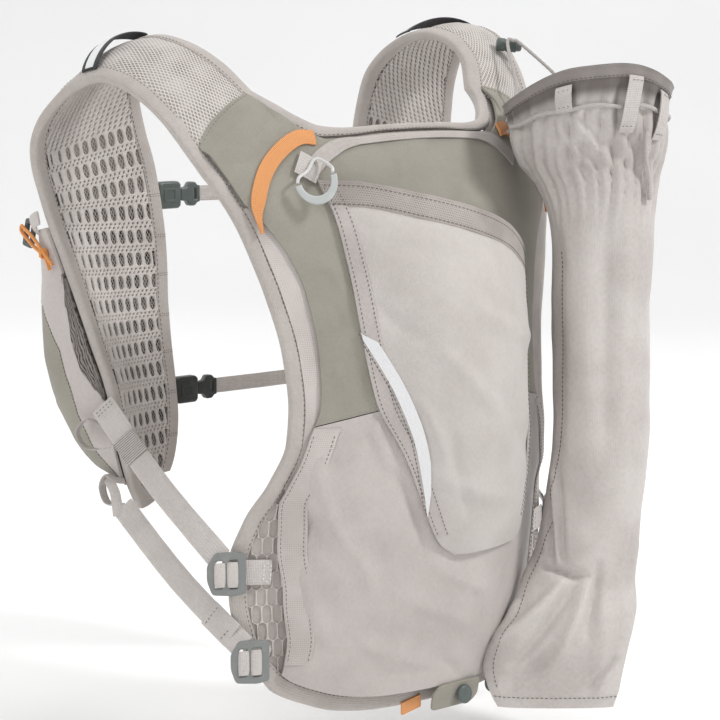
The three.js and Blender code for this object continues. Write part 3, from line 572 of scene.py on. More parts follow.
def ring_loft(rings, uv=None):
    """A closed body from rings of points, its two ends capped."""
    rings = np.asarray(rings, float)
    rows, n = rings.shape[:2]
    faces = grid_faces(rows, n, loop=True)
    verts = rings.reshape(-1, 3)
    if uv is None:
        uv = uv_grid(run_along(rings[0]), run_along(rings.mean(1)))
    verts = np.concatenate([verts, rings[0].mean(0)[None], rings[-1].mean(0)[None]])
    uv = np.concatenate([uv, uv[:1], uv[-1:]])
    first, last = rows * n, rows * n + 1
    for j in range(n):
        k = (j + 1) % n
        faces.append((first, j, k))
        faces.append((last, (rows - 1) * n + k, (rows - 1) * n + j))
    shape = Shape().add(verts, faces, uv)
    a, b, c = verts[faces[0][0]], verts[faces[0][1]], verts[faces[0][2]]
    if np.dot(np.cross(b - a, c - a), a - rings[0].mean(0)) < 0:
        shape.faces = [tuple(reversed(f)) for f in shape.faces]
    return shape


def tube(path, radius, sides=10, hint=(0.3, 0.2, 0.93), lumps=0.0):
    """A round cord along a path; lumps gives it the swelling of a braid."""
    _, normal, side = path_frames(path, hint)
    angle = np.linspace(0, 2 * math.pi, sides, endpoint=False)
    row = np.arange(len(path))[:, None]
    r = radius * (1 + lumps * np.sin(row * 1.9 + 2 * angle[None]))
    ring = normal[:, None] * np.cos(angle)[None, :, None] + side[:, None] * np.sin(angle)[None, :, None]
    return ring_loft(path[:, None] + ring * r[..., None])


def tape(path, width, hint, thick=1.2, arch=0.0, across=7, ripple=0.0):
    """Flat webbing along a path with rounded edges; arch bows it across and ripple waves its edges."""
    _, normal, side = path_frames(path, hint)
    s = np.linspace(-1, 1, across)
    half = thick / 2 * np.sqrt(np.clip(1 - np.abs(s) ** 6, 0, 1)) + 0.02
    run = run_along(path)
    wave = ripple * (s[None] ** 2) * np.sin(run[:, None] / 3.1 + 2 * s[None])
    lift = arch * (1 - s * s)[None] + wave
    base = path[:, None] + side[:, None] * (s * width / 2)[None, :, None] + normal[:, None] * lift[..., None]
    outer = base + normal[:, None] * half[None, :, None]
    inner = base - normal[:, None] * half[None, :, None]
    return slab(outer, inner, uv_grid(s * width / 2, run))


def stitch_row(shape, path, normals, length=2.2, pitch=3.2, radius=0.28, sink=0.1):
    """Adds one small lying thread per stitch along a path."""
    path, normals = np.asarray(path, float), np.asarray(normals, float)
    run = run_along(path)
    count = int(run[-1] // pitch)
    if count < 1:
        return
    starts = (np.arange(count) + 0.5) * run[-1] / count - length / 2

    def at(s):
        p = np.stack([np.interp(s, run, path[:, k]) for k in range(3)], -1)
        n = np.stack([np.interp(s, run, normals[:, k]) for k in range(3)], -1)
        return p, unit(n)

    for s in starts:
        a, n = at(s)
        b, _ = at(s + length)
        add_stitch(shape, a, b, n, radius, sink)


def add_stitch(shape, a, b, n, radius=0.28, sink=0.1):
    along = unit(b - a)
    side = np.cross(n, along)
    rings = []
    for f, size, drop in ((0, 0.45, 0.9), (0.2, 1, 0.15), (0.8, 1, 0.15), (1, 0.45, 0.9)):
        centre = mix(a, b, f) + n * (radius * (0.6 - drop) - sink)
        for k in range(5):
            angle = 2 * math.pi * k / 5
            rings.append(centre + (side * math.cos(angle) + n * math.sin(angle)) * radius * size)
    faces = []
    for i in range(3):
        for j in range(5):
            k = (j + 1) % 5
            faces.append((i * 5 + j, i * 5 + k, i * 5 + 5 + k, i * 5 + 5 + j))
    shape.add(rings, faces)


# Finishes


def linear(rgb):
    return tuple(((c / 255 + 0.055) / 1.055) ** 2.4 if c > 10 else c / 3295 for c in rgb) + (1.0,)


LIGHT = (184, 177, 173)
LIGHT_DARK = (162, 154, 150)
BINDING = (184, 177, 172)
BINDING_DARK = (162, 154, 149)
OLIVE = (153, 149, 138)
OLIVE_DARK = (136, 131, 121)
ORANGE = (217, 150, 95)
NET_DARK = (116, 108, 103)
THREAD_DARK = (112, 104, 99)
SHADE = (104, 97, 93)


class Finish:
    """A material under construction; sockets are joined by small helpers."""

    def __init__(self, name, rough=0.8, sheen=0.0, coat=0.0):
        self.made = bpy.data.materials.new(name)
        self.made.use_nodes = True
        self.tree = self.made.node_tree
        self.shader = self.tree.nodes["Principled BSDF"]
        self.shader.inputs["Roughness"].default_value = rough
        self.shader.inputs["Sheen Weight"].default_value = sheen
        self.shader.inputs["Sheen Roughness"].default_value = 0.4
        self.shader.inputs["Coat Weight"].default_value = coat
        self.shader.inputs["Coat Roughness"].default_value = 0.3
        uv = self.tree.nodes.new("ShaderNodeUVMap")
        uv.uv_map = "cloth"
        split = self.tree.nodes.new("ShaderNodeSeparateXYZ")
        self.tree.links.new(uv.outputs[0], split.inputs[0])
        self.u, self.v, self.uv = split.outputs[0], split.outputs[1], uv.outputs[0]
        self.place = self.tree.nodes.new("ShaderNodeTexCoord").outputs["Object"]

    def put(self, socket, value):
        if isinstance(value, bpy.types.NodeSocket):
            self.tree.links.new(value, socket)
        else:
            socket.default_value = value

    def math(self, kind, a, b=0.0, clamp=False):
        node = self.tree.nodes.new("ShaderNodeMath")
        node.operation = kind
        node.use_clamp = clamp
        self.put(node.inputs[0], a)
        self.put(node.inputs[1], b)
        return node.outputs[0]

    def wave(self, along, pitch, phase=0.0):
        """A sine of a uv coordinate; pitch in millimetres."""
        turned = self.math("MULTIPLY", along, 20 * math.pi / pitch)
        return self.math("SINE", self.math("ADD", turned, phase))

    def noise(self, scale, detail):
        node = self.tree.nodes.new("ShaderNodeTexNoise")
        node.inputs["Scale"].default_value = scale
        node.inputs["Detail"].default_value = detail
        self.put(node.inputs["Vector"], self.place)
        return node.outputs["Fac"]

    def blend(self, share, first, second):
        node = self.tree.nodes.new("ShaderNodeMix")
        node.data_type = "RGBA"
        self.put(node.inputs[0], share)
        self.put(node.inputs[6], linear(first) if isinstance(first, tuple) else first)
        self.put(node.inputs[7], linear(second) if isinstance(second, tuple) else second)
        return node.outputs[2]

    def between(self, value, low, high):
        node = self.tree.nodes.new("ShaderNodeMapRange")
        node.interpolation_type = "SMOOTHSTEP"
        self.put(node.inputs[0], value)
        node.inputs[1].default_value, node.inputs[2].default_value = low, high
        return node.outputs[0]

    def finish(self, colour, height=None, depth=0.2, strength=0.6, rough=None):
        self.put(self.shader.inputs["Base Color"], colour)
        if rough is not None:
            self.put(self.shader.inputs["Roughness"], rough)
        if height is not None:
            bump = self.tree.nodes.new("ShaderNodeBump")
            bump.inputs["Distance"].default_value = depth * MM
            bump.inputs["Strength"].default_value = strength
            self.put(bump.inputs["Height"], height)
            self.tree.links.new(bump.outputs[0], self.shader.inputs["Normal"])
        return self.made


def woven(name, light, dark, pitch):
    """Plain weave: threads over and under, slubs and soft unevenness of tone."""
    f = Finish(name, 0.82, 0.15)
    over = f.math("MULTIPLY", f.wave(f.u, pitch), f.wave(f.v, pitch))
    lines = f.math("MULTIPLY", f.math("ADD", f.wave(f.u, pitch / 2), f.wave(f.v, pitch / 2)), 0.25)
    height = f.math("ADD", f.math("MULTIPLY", over, 0.5), lines)
    cloud = f.between(f.noise(28, 4), 0.35, 0.7)
    fine = f.between(f.noise(700, 2), 0.3, 0.75)
    share = f.math("ADD", f.math("MULTIPLY", cloud, 0.5), f.math("MULTIPLY", fine, 0.25), clamp=True)
    share = f.math("ADD", share, f.math("MULTIPLY", over, 0.06), clamp=True)
    return f.finish(f.blend(share, light, dark), height, 0.16)


def dotted(name, light, dark, pitch, share):
    """A knit with small dark pits in staggered rows."""
    f = Finish(name, 0.85, 0.1)
    a = f.wave(f.math("ADD", f.u, f.v), pitch * 1.4)
    b = f.wave(f.math("SUBTRACT", f.u, f.v), pitch * 1.4)
    pit = f.between(f.math("MULTIPLY", a, b), 0.45, 0.9)
    patchy = f.between(f.noise(90, 3), 0.3, 0.62)
    pits = f.math("MULTIPLY", f.math("MULTIPLY", pit, patchy), share)
    cloud = f.math("MULTIPLY", f.between(f.noise(30, 3), 0.35, 0.7), 0.25)
    tone = f.math("ADD", pits, cloud, clamp=True)
    height = f.math("SUBTRACT", f.math("MULTIPLY", f.noise(900, 2), 0.4), pit)
    return f.finish(f.blend(tone, light, dark), height)


def netting(name, light, dark):
    """Fine diamond net drawn as threads over darker depth."""
    f = Finish(name, 0.8, 0.1)
    rise = f.math("MULTIPLY", f.v, 0.75)
    a = f.math("ABSOLUTE", f.wave(f.math("ADD", f.u, rise), 6.4))
    b = f.math("ABSOLUTE", f.wave(f.math("SUBTRACT", f.u, rise), 6.4))
    hole = f.between(f.math("MINIMUM", a, b), 0.34, 0.62)
    uneven = f.between(f.noise(60, 3), 0.2, 0.75)
    tone = f.math("MULTIPLY", hole, f.math("ADD", 0.45, f.math("MULTIPLY", uneven, 0.55)))
    height = f.math("SUBTRACT", f.math("MULTIPLY", f.noise(800, 2), 0.25), hole)
    return f.finish(f.blend(tone, light, dark), height, 0.5)


def backing(name, light, middle, dark, from_v):
    """Painted shade for the depth behind a spacer net: crossing light threads over a ground of painted shade
    that darkens along v.
    """
    f = Finish(name, 0.85, 0.0)
    a = f.math("ABSOLUTE", f.wave(f.math("ADD", f.math("MULTIPLY", f.u, 1.4), f.v), 7.6))
    b = f.math("ABSOLUTE", f.wave(f.math("SUBTRACT", f.math("MULTIPLY", f.u, 1.4), f.v), 7.6, 0.9))
    hole = f.between(f.math("MINIMUM", a, b), 0.2, 0.4)
    uneven = f.between(f.noise(260, 3), 0.3, 0.62)
    # the ground is painted shade, darker along v from from_v on
    ground = f.blend(f.between(f.v, from_v, from_v + 5), middle, dark)
    share = f.math("MULTIPLY", hole, f.math("ADD", 0.7, f.math("MULTIPLY", uneven, 0.3)))
    return f.finish(f.blend(share, light, ground), f.math("SUBTRACT", 0.0, hole), 0.4)


def wavy(name, light, dark):
    """Stretch net seen at a slant: dark wavering lines along v."""
    f = Finish(name, 0.85, 0.0)
    sway = f.math("MULTIPLY", f.noise(110, 3), 0.5)
    lines = f.wave(f.math("ADD", f.u, sway), 2.0)
    breaks = f.between(f.noise(420, 2), 0.35, 0.7)
    amount = f.math("ADD", 0.5, f.math("MULTIPLY", breaks, 0.5))
    share = f.math("MULTIPLY", f.between(lines, -0.35, 0.55), amount)
    return f.finish(f.blend(share, light, dark), f.math("SUBTRACT", 0.0, lines), 0.5)


def ribbed(name, light, dark, across=1.1, depth=0.18):
    """Webbing: fine ribs across it, with the thread rows along it, and a little painted shade in the grooves
    between ribs.
    """
    f = Finish(name, 0.75, 0.1)
    ribs = f.wave(f.v, across)
    rows = f.wave(f.u, across * 1.6)
    height = f.math("ADD", ribs, f.math("MULTIPLY", rows, 0.6))
    fuzz = f.between(f.noise(500, 3), 0.3, 0.75)
    cloud = f.between(f.noise(45, 3), 0.3, 0.7)
    tone = f.math("ADD", f.math("MULTIPLY", fuzz, 0.3), f.math("MULTIPLY", cloud, 0.35))
    # painted shade: a little darker in the grooves, lighter on the rib tops
    tone = f.math("ADD", tone, f.math("MULTIPLY", height, -0.08), clamp=True)
    return f.finish(f.blend(tone, light, dark), height, depth)


def plastic(name, colour, worn):
    """Moulded plastic with a fine grain, a little paler where it is worn."""
    f = Finish(name, 0.42, 0, 0.15)
    grain = f.noise(1400, 2)
    wear = f.math("MULTIPLY", f.between(f.noise(120, 4), 0.5, 0.8), 0.5)
    rough = f.math("ADD", 0.34, f.math("MULTIPLY", f.noise(300, 3), 0.2))
    return f.finish(f.blend(wear, colour, worn), grain, 0.06, 0.35, rough)


def braided(name, light, dark, pitch=1.6):
    """Cord of crossing strands, with painted shade in the furrows between them."""
    f = Finish(name, 0.75, 0.15)
    a = f.wave(f.math("ADD", f.u, f.v), pitch)
    b = f.wave(f.math("SUBTRACT", f.u, f.v), pitch)
    height = f.math("MAXIMUM", a, b)
    # painted shade: the colour darkens where the strands sink
    tone = f.between(height, 0.9, -0.1)
    return f.finish(f.blend(f.math("MULTIPLY", tone, 0.6), light, dark), height, 0.25)


def streaked(name, light, dark, pitch=1.5, angle=0.35, amount=0.5, dark_above=None):
    """Cloth with fine slanting ribs, as on thin ripstop under tension; it is in shade above a level of v."""
    f = Finish(name, 0.7, 0.2)
    slant = f.math("ADD", f.u, f.math("MULTIPLY", f.v, angle))
    ribs = f.wave(slant, pitch)
    grid = f.math("MULTIPLY", f.wave(f.u, 5.2), f.wave(f.v, 5.2))
    cloud = f.between(f.noise(22, 4), 0.35, 0.7)
    fine = f.between(f.noise(420, 3), 0.35, 0.75)
    tone = f.math("ADD", f.math("MULTIPLY", cloud, amount), f.math("MULTIPLY", fine, 0.22), clamp=True)
    tone = f.math("ADD", tone, f.math("MULTIPLY", grid, 0.03), clamp=True)
    colour = f.blend(tone, light, dark)
    if dark_above is not None:
        colour = f.blend(f.between(f.v, dark_above, dark_above + 0.5), colour, SHADE)
    height = f.math("ADD", f.math("MULTIPLY", ribs, 0.35), f.math("MULTIPLY", fine, 0.5))
    return f.finish(colour, height, 0.12)


def foil(name, colour, dark):
    """Reflective film: a fine bead grain on white."""
    f = Finish(name, 0.6, 0, 0.05)
    grain = f.noise(1600, 2)
    return f.finish(f.blend(f.math("MULTIPLY", f.between(grain, 0.35, 0.7), 0.35), colour, dark), grain, 0.05)


CLOTH = streaked("panel_cloth", LIGHT, LIGHT_DARK)
QUIVER_CLOTH = streaked("quiver_cloth", (196, 190, 186), (166, 158, 154), 1.6, 0.02, 0.6, -5.2)
RIM_CLOTH = woven("rim_cloth", (142, 135, 131), (124, 117, 113), pitch=0.9)
POCKET_CLOTH = streaked("pocket_cloth", (190, 184, 180), (170, 163, 158), pitch=1.1, angle=0.6)
BAND_CLOTH = dotted("band_cloth", (164, 156, 151), (96, 88, 83), pitch=2.2, share=0.95)
STRIP_CLOTH = dotted("strip_cloth", (190, 183, 179), (134, 126, 121), pitch=1.9, share=0.7)
BINDING_CLOTH = ribbed("binding_cloth", BINDING, BINDING_DARK, 0.8, depth=0.12)
OLIVE_CLOTH = woven("olive_cloth", OLIVE, OLIVE_DARK, pitch=0.8)
OUTER_NET = netting("outer_net", (204, 198, 193), NET_DARK)
SPACER_NET = ribbed("spacer_net", (206, 200, 196), (178, 170, 165), 0.9, depth=0.15)
# its middle and dark colours are painted shade for the depth behind the strap lining
SPACER_SHADE_BACK = backing("spacer_shade_back", (172, 165, 160), (100, 92, 88), (14, 12, 12), BRAID_END / 10 + 1.0)
SLEEVE_NET = wavy("sleeve_net", (138, 130, 125), (30, 27, 26))
WING_BACK = woven("wing_back", (182, 174, 169), (154, 146, 141), pitch=1.1)
WEBBING = ribbed("webbing_cloth", (198, 192, 188), (176, 169, 165))
ORANGE_TAPE = ribbed("orange_tape", ORANGE, (212, 146, 88), 0.9)
CORD = braided("cord_braid", (196, 190, 186), (132, 124, 120))
WHITE_CORD = braided("white_braid", (232, 232, 230), (172, 172, 170), 1.2)
ORANGE_CORD = braided("orange_braid", (240, 162, 90), (190, 112, 48), 1.3)
LOOP_EDGE = ribbed("loop_edge", (34, 34, 35), (58, 58, 60), 0.8)
FOIL = foil("reflective_film", (222, 222, 223), (188, 190, 193))
GREY_PLASTIC = plastic("grey_plastic", (118, 121, 119), (136, 139, 137))
PALE_PLASTIC = plastic("pale_plastic", (178, 182, 181), (198, 201, 200))
SLATE_PLASTIC = plastic("slate_plastic", (80, 89, 86), (112, 120, 117))
DARK_PLASTIC = plastic("dark_plastic", (38, 42, 40), (72, 76, 74))
DARK_THREAD = braided("dark_thread", THREAD_DARK, (84, 77, 73), 1.2)
WHITE_THREAD = braided("white_thread", (240, 240, 238), (200, 200, 198), 1.2)


# Where a point lands in the picture, in pixels of its 720 by 720 frame


def seen(points):
    a, e = math.radians(AZIMUTH), math.radians(ELEVATION)
    back = np.array([math.sin(a) * math.cos(e), -math.cos(a) * math.cos(e), math.sin(e)])
    right = unit(np.cross([0, 0, 1], back))
    up = np.cross(back, right)
    rel = points - np.array(TARGET) / MM
    far = DISTANCE / MM - rel @ back
    scale = 360 / math.tan(math.radians(HALF_ANGLE)) / far
    return 360 + (rel @ right) * scale, 360 - (rel @ up) * scale


def folds(points, table):
    """The sum of creases listed as seen in the picture: start, end, width, height, bend."""
    x, y = seen(points)
    total = np.zeros(points.shape[:2])
    for x0, y0, x1, y1, width, height, bend in table:
        total += height * crease(x, y, (x0, y0), (x1, y1), width, bend)
    return total


# Cloth faces at the back


def turned(shape, right):
    """The shape, or its mirror for the wearer's right."""
    return shape.mirror() if right else shape


def share_grid(shares, low, high, rows):
    """x shares and levels of a grid between two level curves."""
    b = np.linspace(0, 1, rows)[:, None]
    s = np.asarray(shares)[None]
    return np.broadcast_to(s, (rows, s.shape[1])), mix(low(s), high(s), b)


def liner_edge(z):
    return back_at("edge_x", z) - BINDING_WIDTH - SEAM_GAP


def liner_top(share):
    s = np.abs(share)
    corner = NECK["share"][-1]
    return np.where(
        s <= corner,
        read(NECK, "share", "liner", s),
        mix(-33, -63, (s - corner) / (1 - corner)),
    )


def liner_bottom(share):
    return read(HEM, "share", "liner", np.abs(share))


def yoke_foot(share):
    return mix(-206, -225, np.abs(share) ** 1.5)


def lower_foot(share):
    return mix(-397.5, -378, np.abs(share) ** 5)


# Yoke, in olive cloth

YOKE_FOLDS = [
    (310, 172, 372, 238, 9, 0.9, 6),
    (318, 256, 348, 300, 7, 0.7, -3),
    (332, 300, 352, 345, 5, -0.7, 2),
    (352, 330, 372, 372, 6, 0.8, -2),
    (330, 352, 350, 400, 5, 0.7, 2),
    (240, 118, 250, 190, 6, -0.8, 3),
    (262, 112, 300, 124, 5, 0.7, -2),
]


def yoke():
    s, z = share_grid(np.linspace(-1, 1, 109), lambda s: yoke_foot(s) + GAP, lambda s: liner_top(s) - 0.9, 72)
    x = s * seam_x(z)
    p, n = on_face(cover_y, x, z)
    soft = 0.45 * unevenness(x, z, 46, 3) + 0.12 * unevenness(x, z, 13, 5)
    border = np.minimum(1, (1 - np.abs(s)) * 14)
    lift = (soft + folds(p, YOKE_FOLDS)) * border
    wall(p, n, CLOTH_WALL + lift, lift * 0.8).piece("yoke", OLIVE_CLOTH, "olive_cloth", ["yoke_panel"])


LOWER_FOLDS = [
    (318, 452, 352, 555, 9, 3.54, 10),
    (352, 545, 372, 600, 8, 2.18, -4),
    (300, 560, 330, 650, 9, 1.9, 3),
    (352, 640, 440, 662, 9, 2.45, 4),
    (395, 470, 425, 560, 8, -2.18, -6),
    (425, 560, 500, 590, 8, 2.45, 4),
    (400, 600, 470, 625, 9, 2.18, -5),
    (330, 500, 300, 540, 6, -1.63, 2),
    (480, 560, 470, 640, 7, 2.18, -3),
    (372, 420, 392, 470, 6, 2.45, 3),
    (440, 655, 478, 690, 6, -2.18, 2),
]


def lower():
    s, z = share_grid(np.linspace(-1, 1, 117), lower_foot, lambda s: yoke_foot(s) - GAP, 91)
    x = s * seam_x(z)
    p, n = on_face(cover_y, x, z)
    border = np.minimum(1, (1 - np.abs(s)) * 9) * np.minimum(1, (z - lower_foot(s)) / 9)
    soft = 0.55 * unevenness(x, z, 60, 11) + 0.16 * unevenness(x * 1.5, z, 15, 12)
    hem = 0.35 * ease((np.abs(s) - 0.86) * 40)
    lift = (soft + folds(p, LOWER_FOLDS)) * border + hem
    shape = wall(p, n, CLOTH_WALL + lift, lift - hem)
    shape.piece("lower_cover", CLOTH, "light_cloth", ["lower_panel"])


def yoke_caps():
    """The olive cloth laps over the strap's first centimetres in a bowed seam."""
    q = np.linspace(0, 1, 46)
    share, v = mix(0.655, 1.0, q), mix(0.12, 0.88, q)
    z = liner_top(share)
    seam = 0.04 + 0.4 * (1 - np.abs(2 * v - 1) ** 2.4)
    for name, right in (("left", 0), ("right", 1)):
        keys = [
            on_face(cover_y, share * seam_x(z - 15), z - 15, CLOTH_WALL - 0.9),
            on_face(cover_y, share * seam_x(z - 8), z - 8, CLOTH_WALL + 0.1),
            on_face(cover_y, share * seam_x(z - 1), z - 1, CLOTH_WALL + 0.6),
            on_strap(seam * 0.55, v, 1.5, right),
            on_strap(seam, v, 0.8, right),
        ]
        p = catmull(np.stack([k[0] for k in keys]), 26)
        n = renormal(p, np.broadcast_to(keys[3][1], p.shape))
        turned(wall(p, n, 0.3, -1.3), right).piece("yoke_cap_" + name, OLIVE_CLOTH, "olive_cloth")
        edge, m = on_strap(seam - 0.06, v, 1.2, right)
        stitches = Shape()
        stitch_row(stitches, edge, m, 1.8, 2.8, 0.22)
        turned(stitches, right).piece("yoke_cap_stitches_" + name, DARK_THREAD, "binding")


yoke()
lower()
yoke_caps()


# Strips along the side seams, with their stitch rows


def seam_strips():
    hem = Shape()
    stitches = Shape()
    for side in (1, -1):
        z = np.linspace(-372, -226, 80)[:, None]
        w = np.linspace(0, 1, 8)[None]
        wide = 13.5 * np.minimum(1, (z + 384) / 16)
        x = side * (seam_x(z) - wide * w)
        p, n = on_face(cover_y, x, z, CLOTH_WALL + 0.5)
        part = wall(p, n, 0.45 - 0.3 * (w > 0.93), 0.0)
        hem.take(part)
        for offset in (1.6, 11.8):
            line = np.linspace(-370, -230, 90)
            q, m = on_face(cover_y, side * (seam_x(line) - offset), line, CLOTH_WALL + 1.0)
            stitch_row(stitches, q, m, 1.7, 2.7, 0.22)
    hem.piece("side_hem", STRIP_CLOTH, "light_cloth")
    stitches.piece("side_hem_stitches", DARK_THREAD, "binding")


seam_strips()


# Upper wings: the light strip between yoke and binding


def wing_strips():
    for name, side in HALVES:
        z = np.linspace(-262, -94, 90)[:, None]
        w = np.linspace(0, 1, 14)[None]
        inner = seam_x(z) - 1.5
        outer = back_at("edge_x", z) - BINDING_WIDTH + 0.6
        x = side * mix(inner, np.maximum(outer, inner + 0.3), w)
        p, n = on_face(liner_y, x, z, 0.25)
        soft = 0.35 * unevenness(x, z, 24, 21)
        shape = wall(p, n, 0.7 + soft * np.sin(np.pi * w), 0.0)
        shape.piece("wing_strip_" + name, STRIP_CLOTH, "light_cloth")


wing_strips()

# Nets: cells with rounded holes, each a ring of faces from its rim over a rounded thread into the hole

HEXAGON = [(0, -1), (0.5, -0.855), (1, -0.71), (1, -0.24), (1, 0.24), (1, 0.71), (0.5, 0.855)]
HEXAGON = np.array(HEXAGON + [(-x, -y) for x, y in HEXAGON], float)
COARSE_HEXAGON = HEXAGON[[0, 2, 5, 7, 9, 12]]
RIM14 = [(-1, -1), (-0.5, -1), (0, -1), (0.5, -1), (1, -1), (1, -0.33), (1, 0.33)]
RIM14 = np.array(RIM14 + [(-x, -y) for x, y in RIM14], float)
RIM8 = np.array([(-1, -1), (0, -1), (1, -1), (1, 0), (1, 1), (0, 1), (-1, 1), (-1, 0)], float)


def net(place, cells, rim, power=2.4, depth=1.3, crown=0.45, lean=0.0):
    """A shape from cells (centre u, v, half width, half height, hole half width, hole half height)."""
    cells = np.asarray(cells, float)
    cu, cv, hw, hh, rw, rh = (cells[:, k, None] for k in range(6))
    angle = np.arctan2(rim[:, 1], rim[:, 0])
    c, s = np.cos(angle), np.sin(angle)
    ring = np.stack([np.sign(c) * np.abs(c) ** (2 / power), np.sign(s) * np.abs(s) ** (2 / power)], -1)
    n = len(rim)
    levels = []
    thread = ((0.0, crown * 0.8), (0.45, crown), (0.86, crown * 0.35), (1.0, -0.1), (1.03, -depth))
    for toward, lift in thread:
        u = mix(cu + rim[:, 0] * hw, cu + ring[:, 0] * rw + lean * ring[:, 1] * rh, toward)
        v = mix(cv + rim[:, 1] * hh, cv + ring[:, 1] * rh, toward)
        levels.append(np.stack([u, v, np.full_like(u, lift)], -1))
    flat = np.stack(levels, 1)
    points, normals = place(flat[..., 0], flat[..., 1])
    points = points + normals * flat[..., 2:3]
    count = len(cells)
    base = np.arange(count)[:, None, None] * (5 * n)
    i = np.arange(4)[None, :, None] * n
    j = np.arange(n)[None, None, :]
    k = (j + 1) % n
    quads = np.stack([base + i + j, base + i + k, base + i + n + k, base + i + n + j], -1)
    shape = Shape()
    faces = quads.reshape(-1, 4)
    a, b, c = (points.reshape(-1, 3)[faces[0, x]] for x in (0, 1, 2))
    if np.dot(np.cross(b - a, c - a), normals.reshape(-1, 3)[0]) < 0:
        faces = faces[:, ::-1]
    return shape.add(points.reshape(-1, 3), faces.tolist(), (flat[..., :2] / 10).reshape(-1, 2))


def join(shapes):
    whole = Shape()
    for shape in shapes:
        whole.take(shape)
    return whole


# Back liner: a padded sheet with net on both faces


def liner():
    s, z = share_grid(np.linspace(-1, 1, 50), liner_bottom, liner_top, 80)
    x = s * (liner_edge(z) + 1.4)
    p, n = on_face(liner_y, x, z)
    wall(p, n, -0.9, -3.2).piece("liner_pad", WING_BACK, "mesh", ["back_liner"])

    def place_out(u, v):
        return on_face(liner_y, u, v, -0.35)

    def place_in(u, v):
        points, normals = on_face(liner_y, u, v, -3.3)
        return points, -normals

    def inside(u, v, margin):
        limit = liner_edge(v)
        share = np.abs(u) / limit
        keep = (share < 1 - margin / limit) & (v > liner_bottom(share) + margin)
        return keep & (v < liner_top(np.minimum(share, 1)) - margin)

    outer, inner = [], []
    for row, v in enumerate(np.arange(-404, -30, 10.6)):
        for u in np.arange(-24 * 5.7, 24 * 5.7, 5.7) + (row % 2) * 2.85:
            if inside(u, v, -1.6) and abs(u) > seam_x(v) - 6:
                outer.append((u, v, 2.85, 6.2, 2.42, 5.6))
            if inside(u, v, 2.0):
                inner.append((u, v, 2.85, 6.2, 1.9, 4.7))
    net(place_out, outer, HEXAGON, 3.0, 0.6, 0.4).piece("wing_net", SPACER_NET, "mesh", smooth=70)
    net(place_in, inner, COARSE_HEXAGON, 2.4, 0.6, 0.35).piece("liner_net", SPACER_NET, "mesh", smooth=70)


liner()


# Shoulder straps


def arm_share(t, right):
    return 1 - BINDING_WIDTH / strap_width(t, right)


def neck_share(t, right):
    return BINDING_WIDTH / strap_width(t, right)


def strap(right, name):
    t = np.linspace(0.04, STRAP_END - 0.1, 150)[:, None]
    low = ((BINDING_WIDTH - 0.4) / strap_width(t[:, 0], right))[:, None]
    w = np.linspace(0, 1, 34)[None]
    v = low + (1 - 2 * low) * w
    p, n = on_strap(np.broadcast_to(t, v.shape), v, 0.0, right)
    run = np.interp(t, STATIONS, RUN)
    soft = 0.22 * unevenness(run + 0 * w, 70 * w + 0 * t, 17, 31)
    pillow = 0.8 * np.sin(np.pi * np.clip(w, 0, 1)) ** 0.5 - 0.8
    uv = np.stack([(w - 0.5) * strap_width(t[:, 0], right)[:, None] / 10, run / 10 + 0 * w], -1)
    shape = wall(p, n, pillow + soft + 0.2, -4.4, uv)
    turned(shape, right).piece("strap_" + name, OUTER_NET, "mesh", ["shoulder_strap_" + name])

    # A sheet under the lining whose ground is painted shade for the depth seen through the net.
    under, m = on_strap(np.broadcast_to(t, v.shape), v, -4.5, right)
    shade_backing_sheet = wall(under, -m, 0.0, -0.1, uv)
    turned(shade_backing_sheet, right).piece("strap_shade_backing_" + name, SPACER_SHADE_BACK, "mesh")

    def place(u, s):
        at = np.interp(s, RUN, STATIONS)
        points, normals = on_strap(at, 0.5 + u / strap_width(at, right), -5.4, right)
        return points, -normals

    def across(s, pitch, shift):
        """Cell centres across the strap at this length, up to under its bindings."""
        at = np.interp(s, RUN, STATIONS)
        half = float(strap_width(np.array([at]), right)[0]) / 2 - BINDING_WIDTH + 1.2
        return [(u, half) for u in np.arange(-60, 60, pitch) + shift if abs(u) < half]

    ticks, ovals, slits = [], [], []
    s, row = 4.0, 0
    while s < RUN[-1] - 4:
        if s < BRAID_END:
            ticks += [(u, s + 1.5, 2.2, 1.5, 0.55, 1.05) for u, _ in across(s + 1.5, 4.4, (row % 3) * 1.5)]
            s += 3.0
        else:
            for u, half in across(s + 5.1, 7.0, (row % 2) * 3.5):
                hole = mix(2.45, 0.9, float(ease((u / half - 0.1) / 0.9)))
                ovals.append((u, s + 5.1, 3.5, 5.1, hole, 4.6))
            s += 10.2
            for k in range(2):
                slits += [(u, s + 1.15, 1.75, 1.15, 0.62, 0.85) for u, _ in across(s + 1.15, 3.5, k * 1.75)]
                s += 2.3
        row += 1
    shape = join([
        net(place, ticks, RIM8, 2.0, 0.4, 0.6, 1.2),
        net(place, ovals, RIM14, 2.2, 0.9, 0.5),
        net(place, slits, RIM8, 2.0, 0.7, 0.4, 0.5),
    ])
    turned(shape, right).piece("strap_lining_" + name, SPACER_NET, "mesh", smooth=70)


strap(0, "left")
strap(1, "right")

# Edge bindings: a folded tape over each edge, with its stitches

# The folded tape's outline: share of its width from the body side, share of its thickness from outside.
PROFILE = [(0.0, 0.1), (0.04, 0.01), (0.2, -0.035), (0.42, -0.05), (0.64, -0.045), (0.82, -0.01)]
PROFILE += [(0.93, 0.07), (0.985, 0.22), (1.0, 0.45), (0.99, 0.68), (0.95, 0.86), (0.86, 0.96)]
PROFILE += [(0.66, 1.02), (0.4, 1.03), (0.15, 1.0), (0.03, 0.95), (0.0, 0.85)]
STITCH_SHARE = 0.13


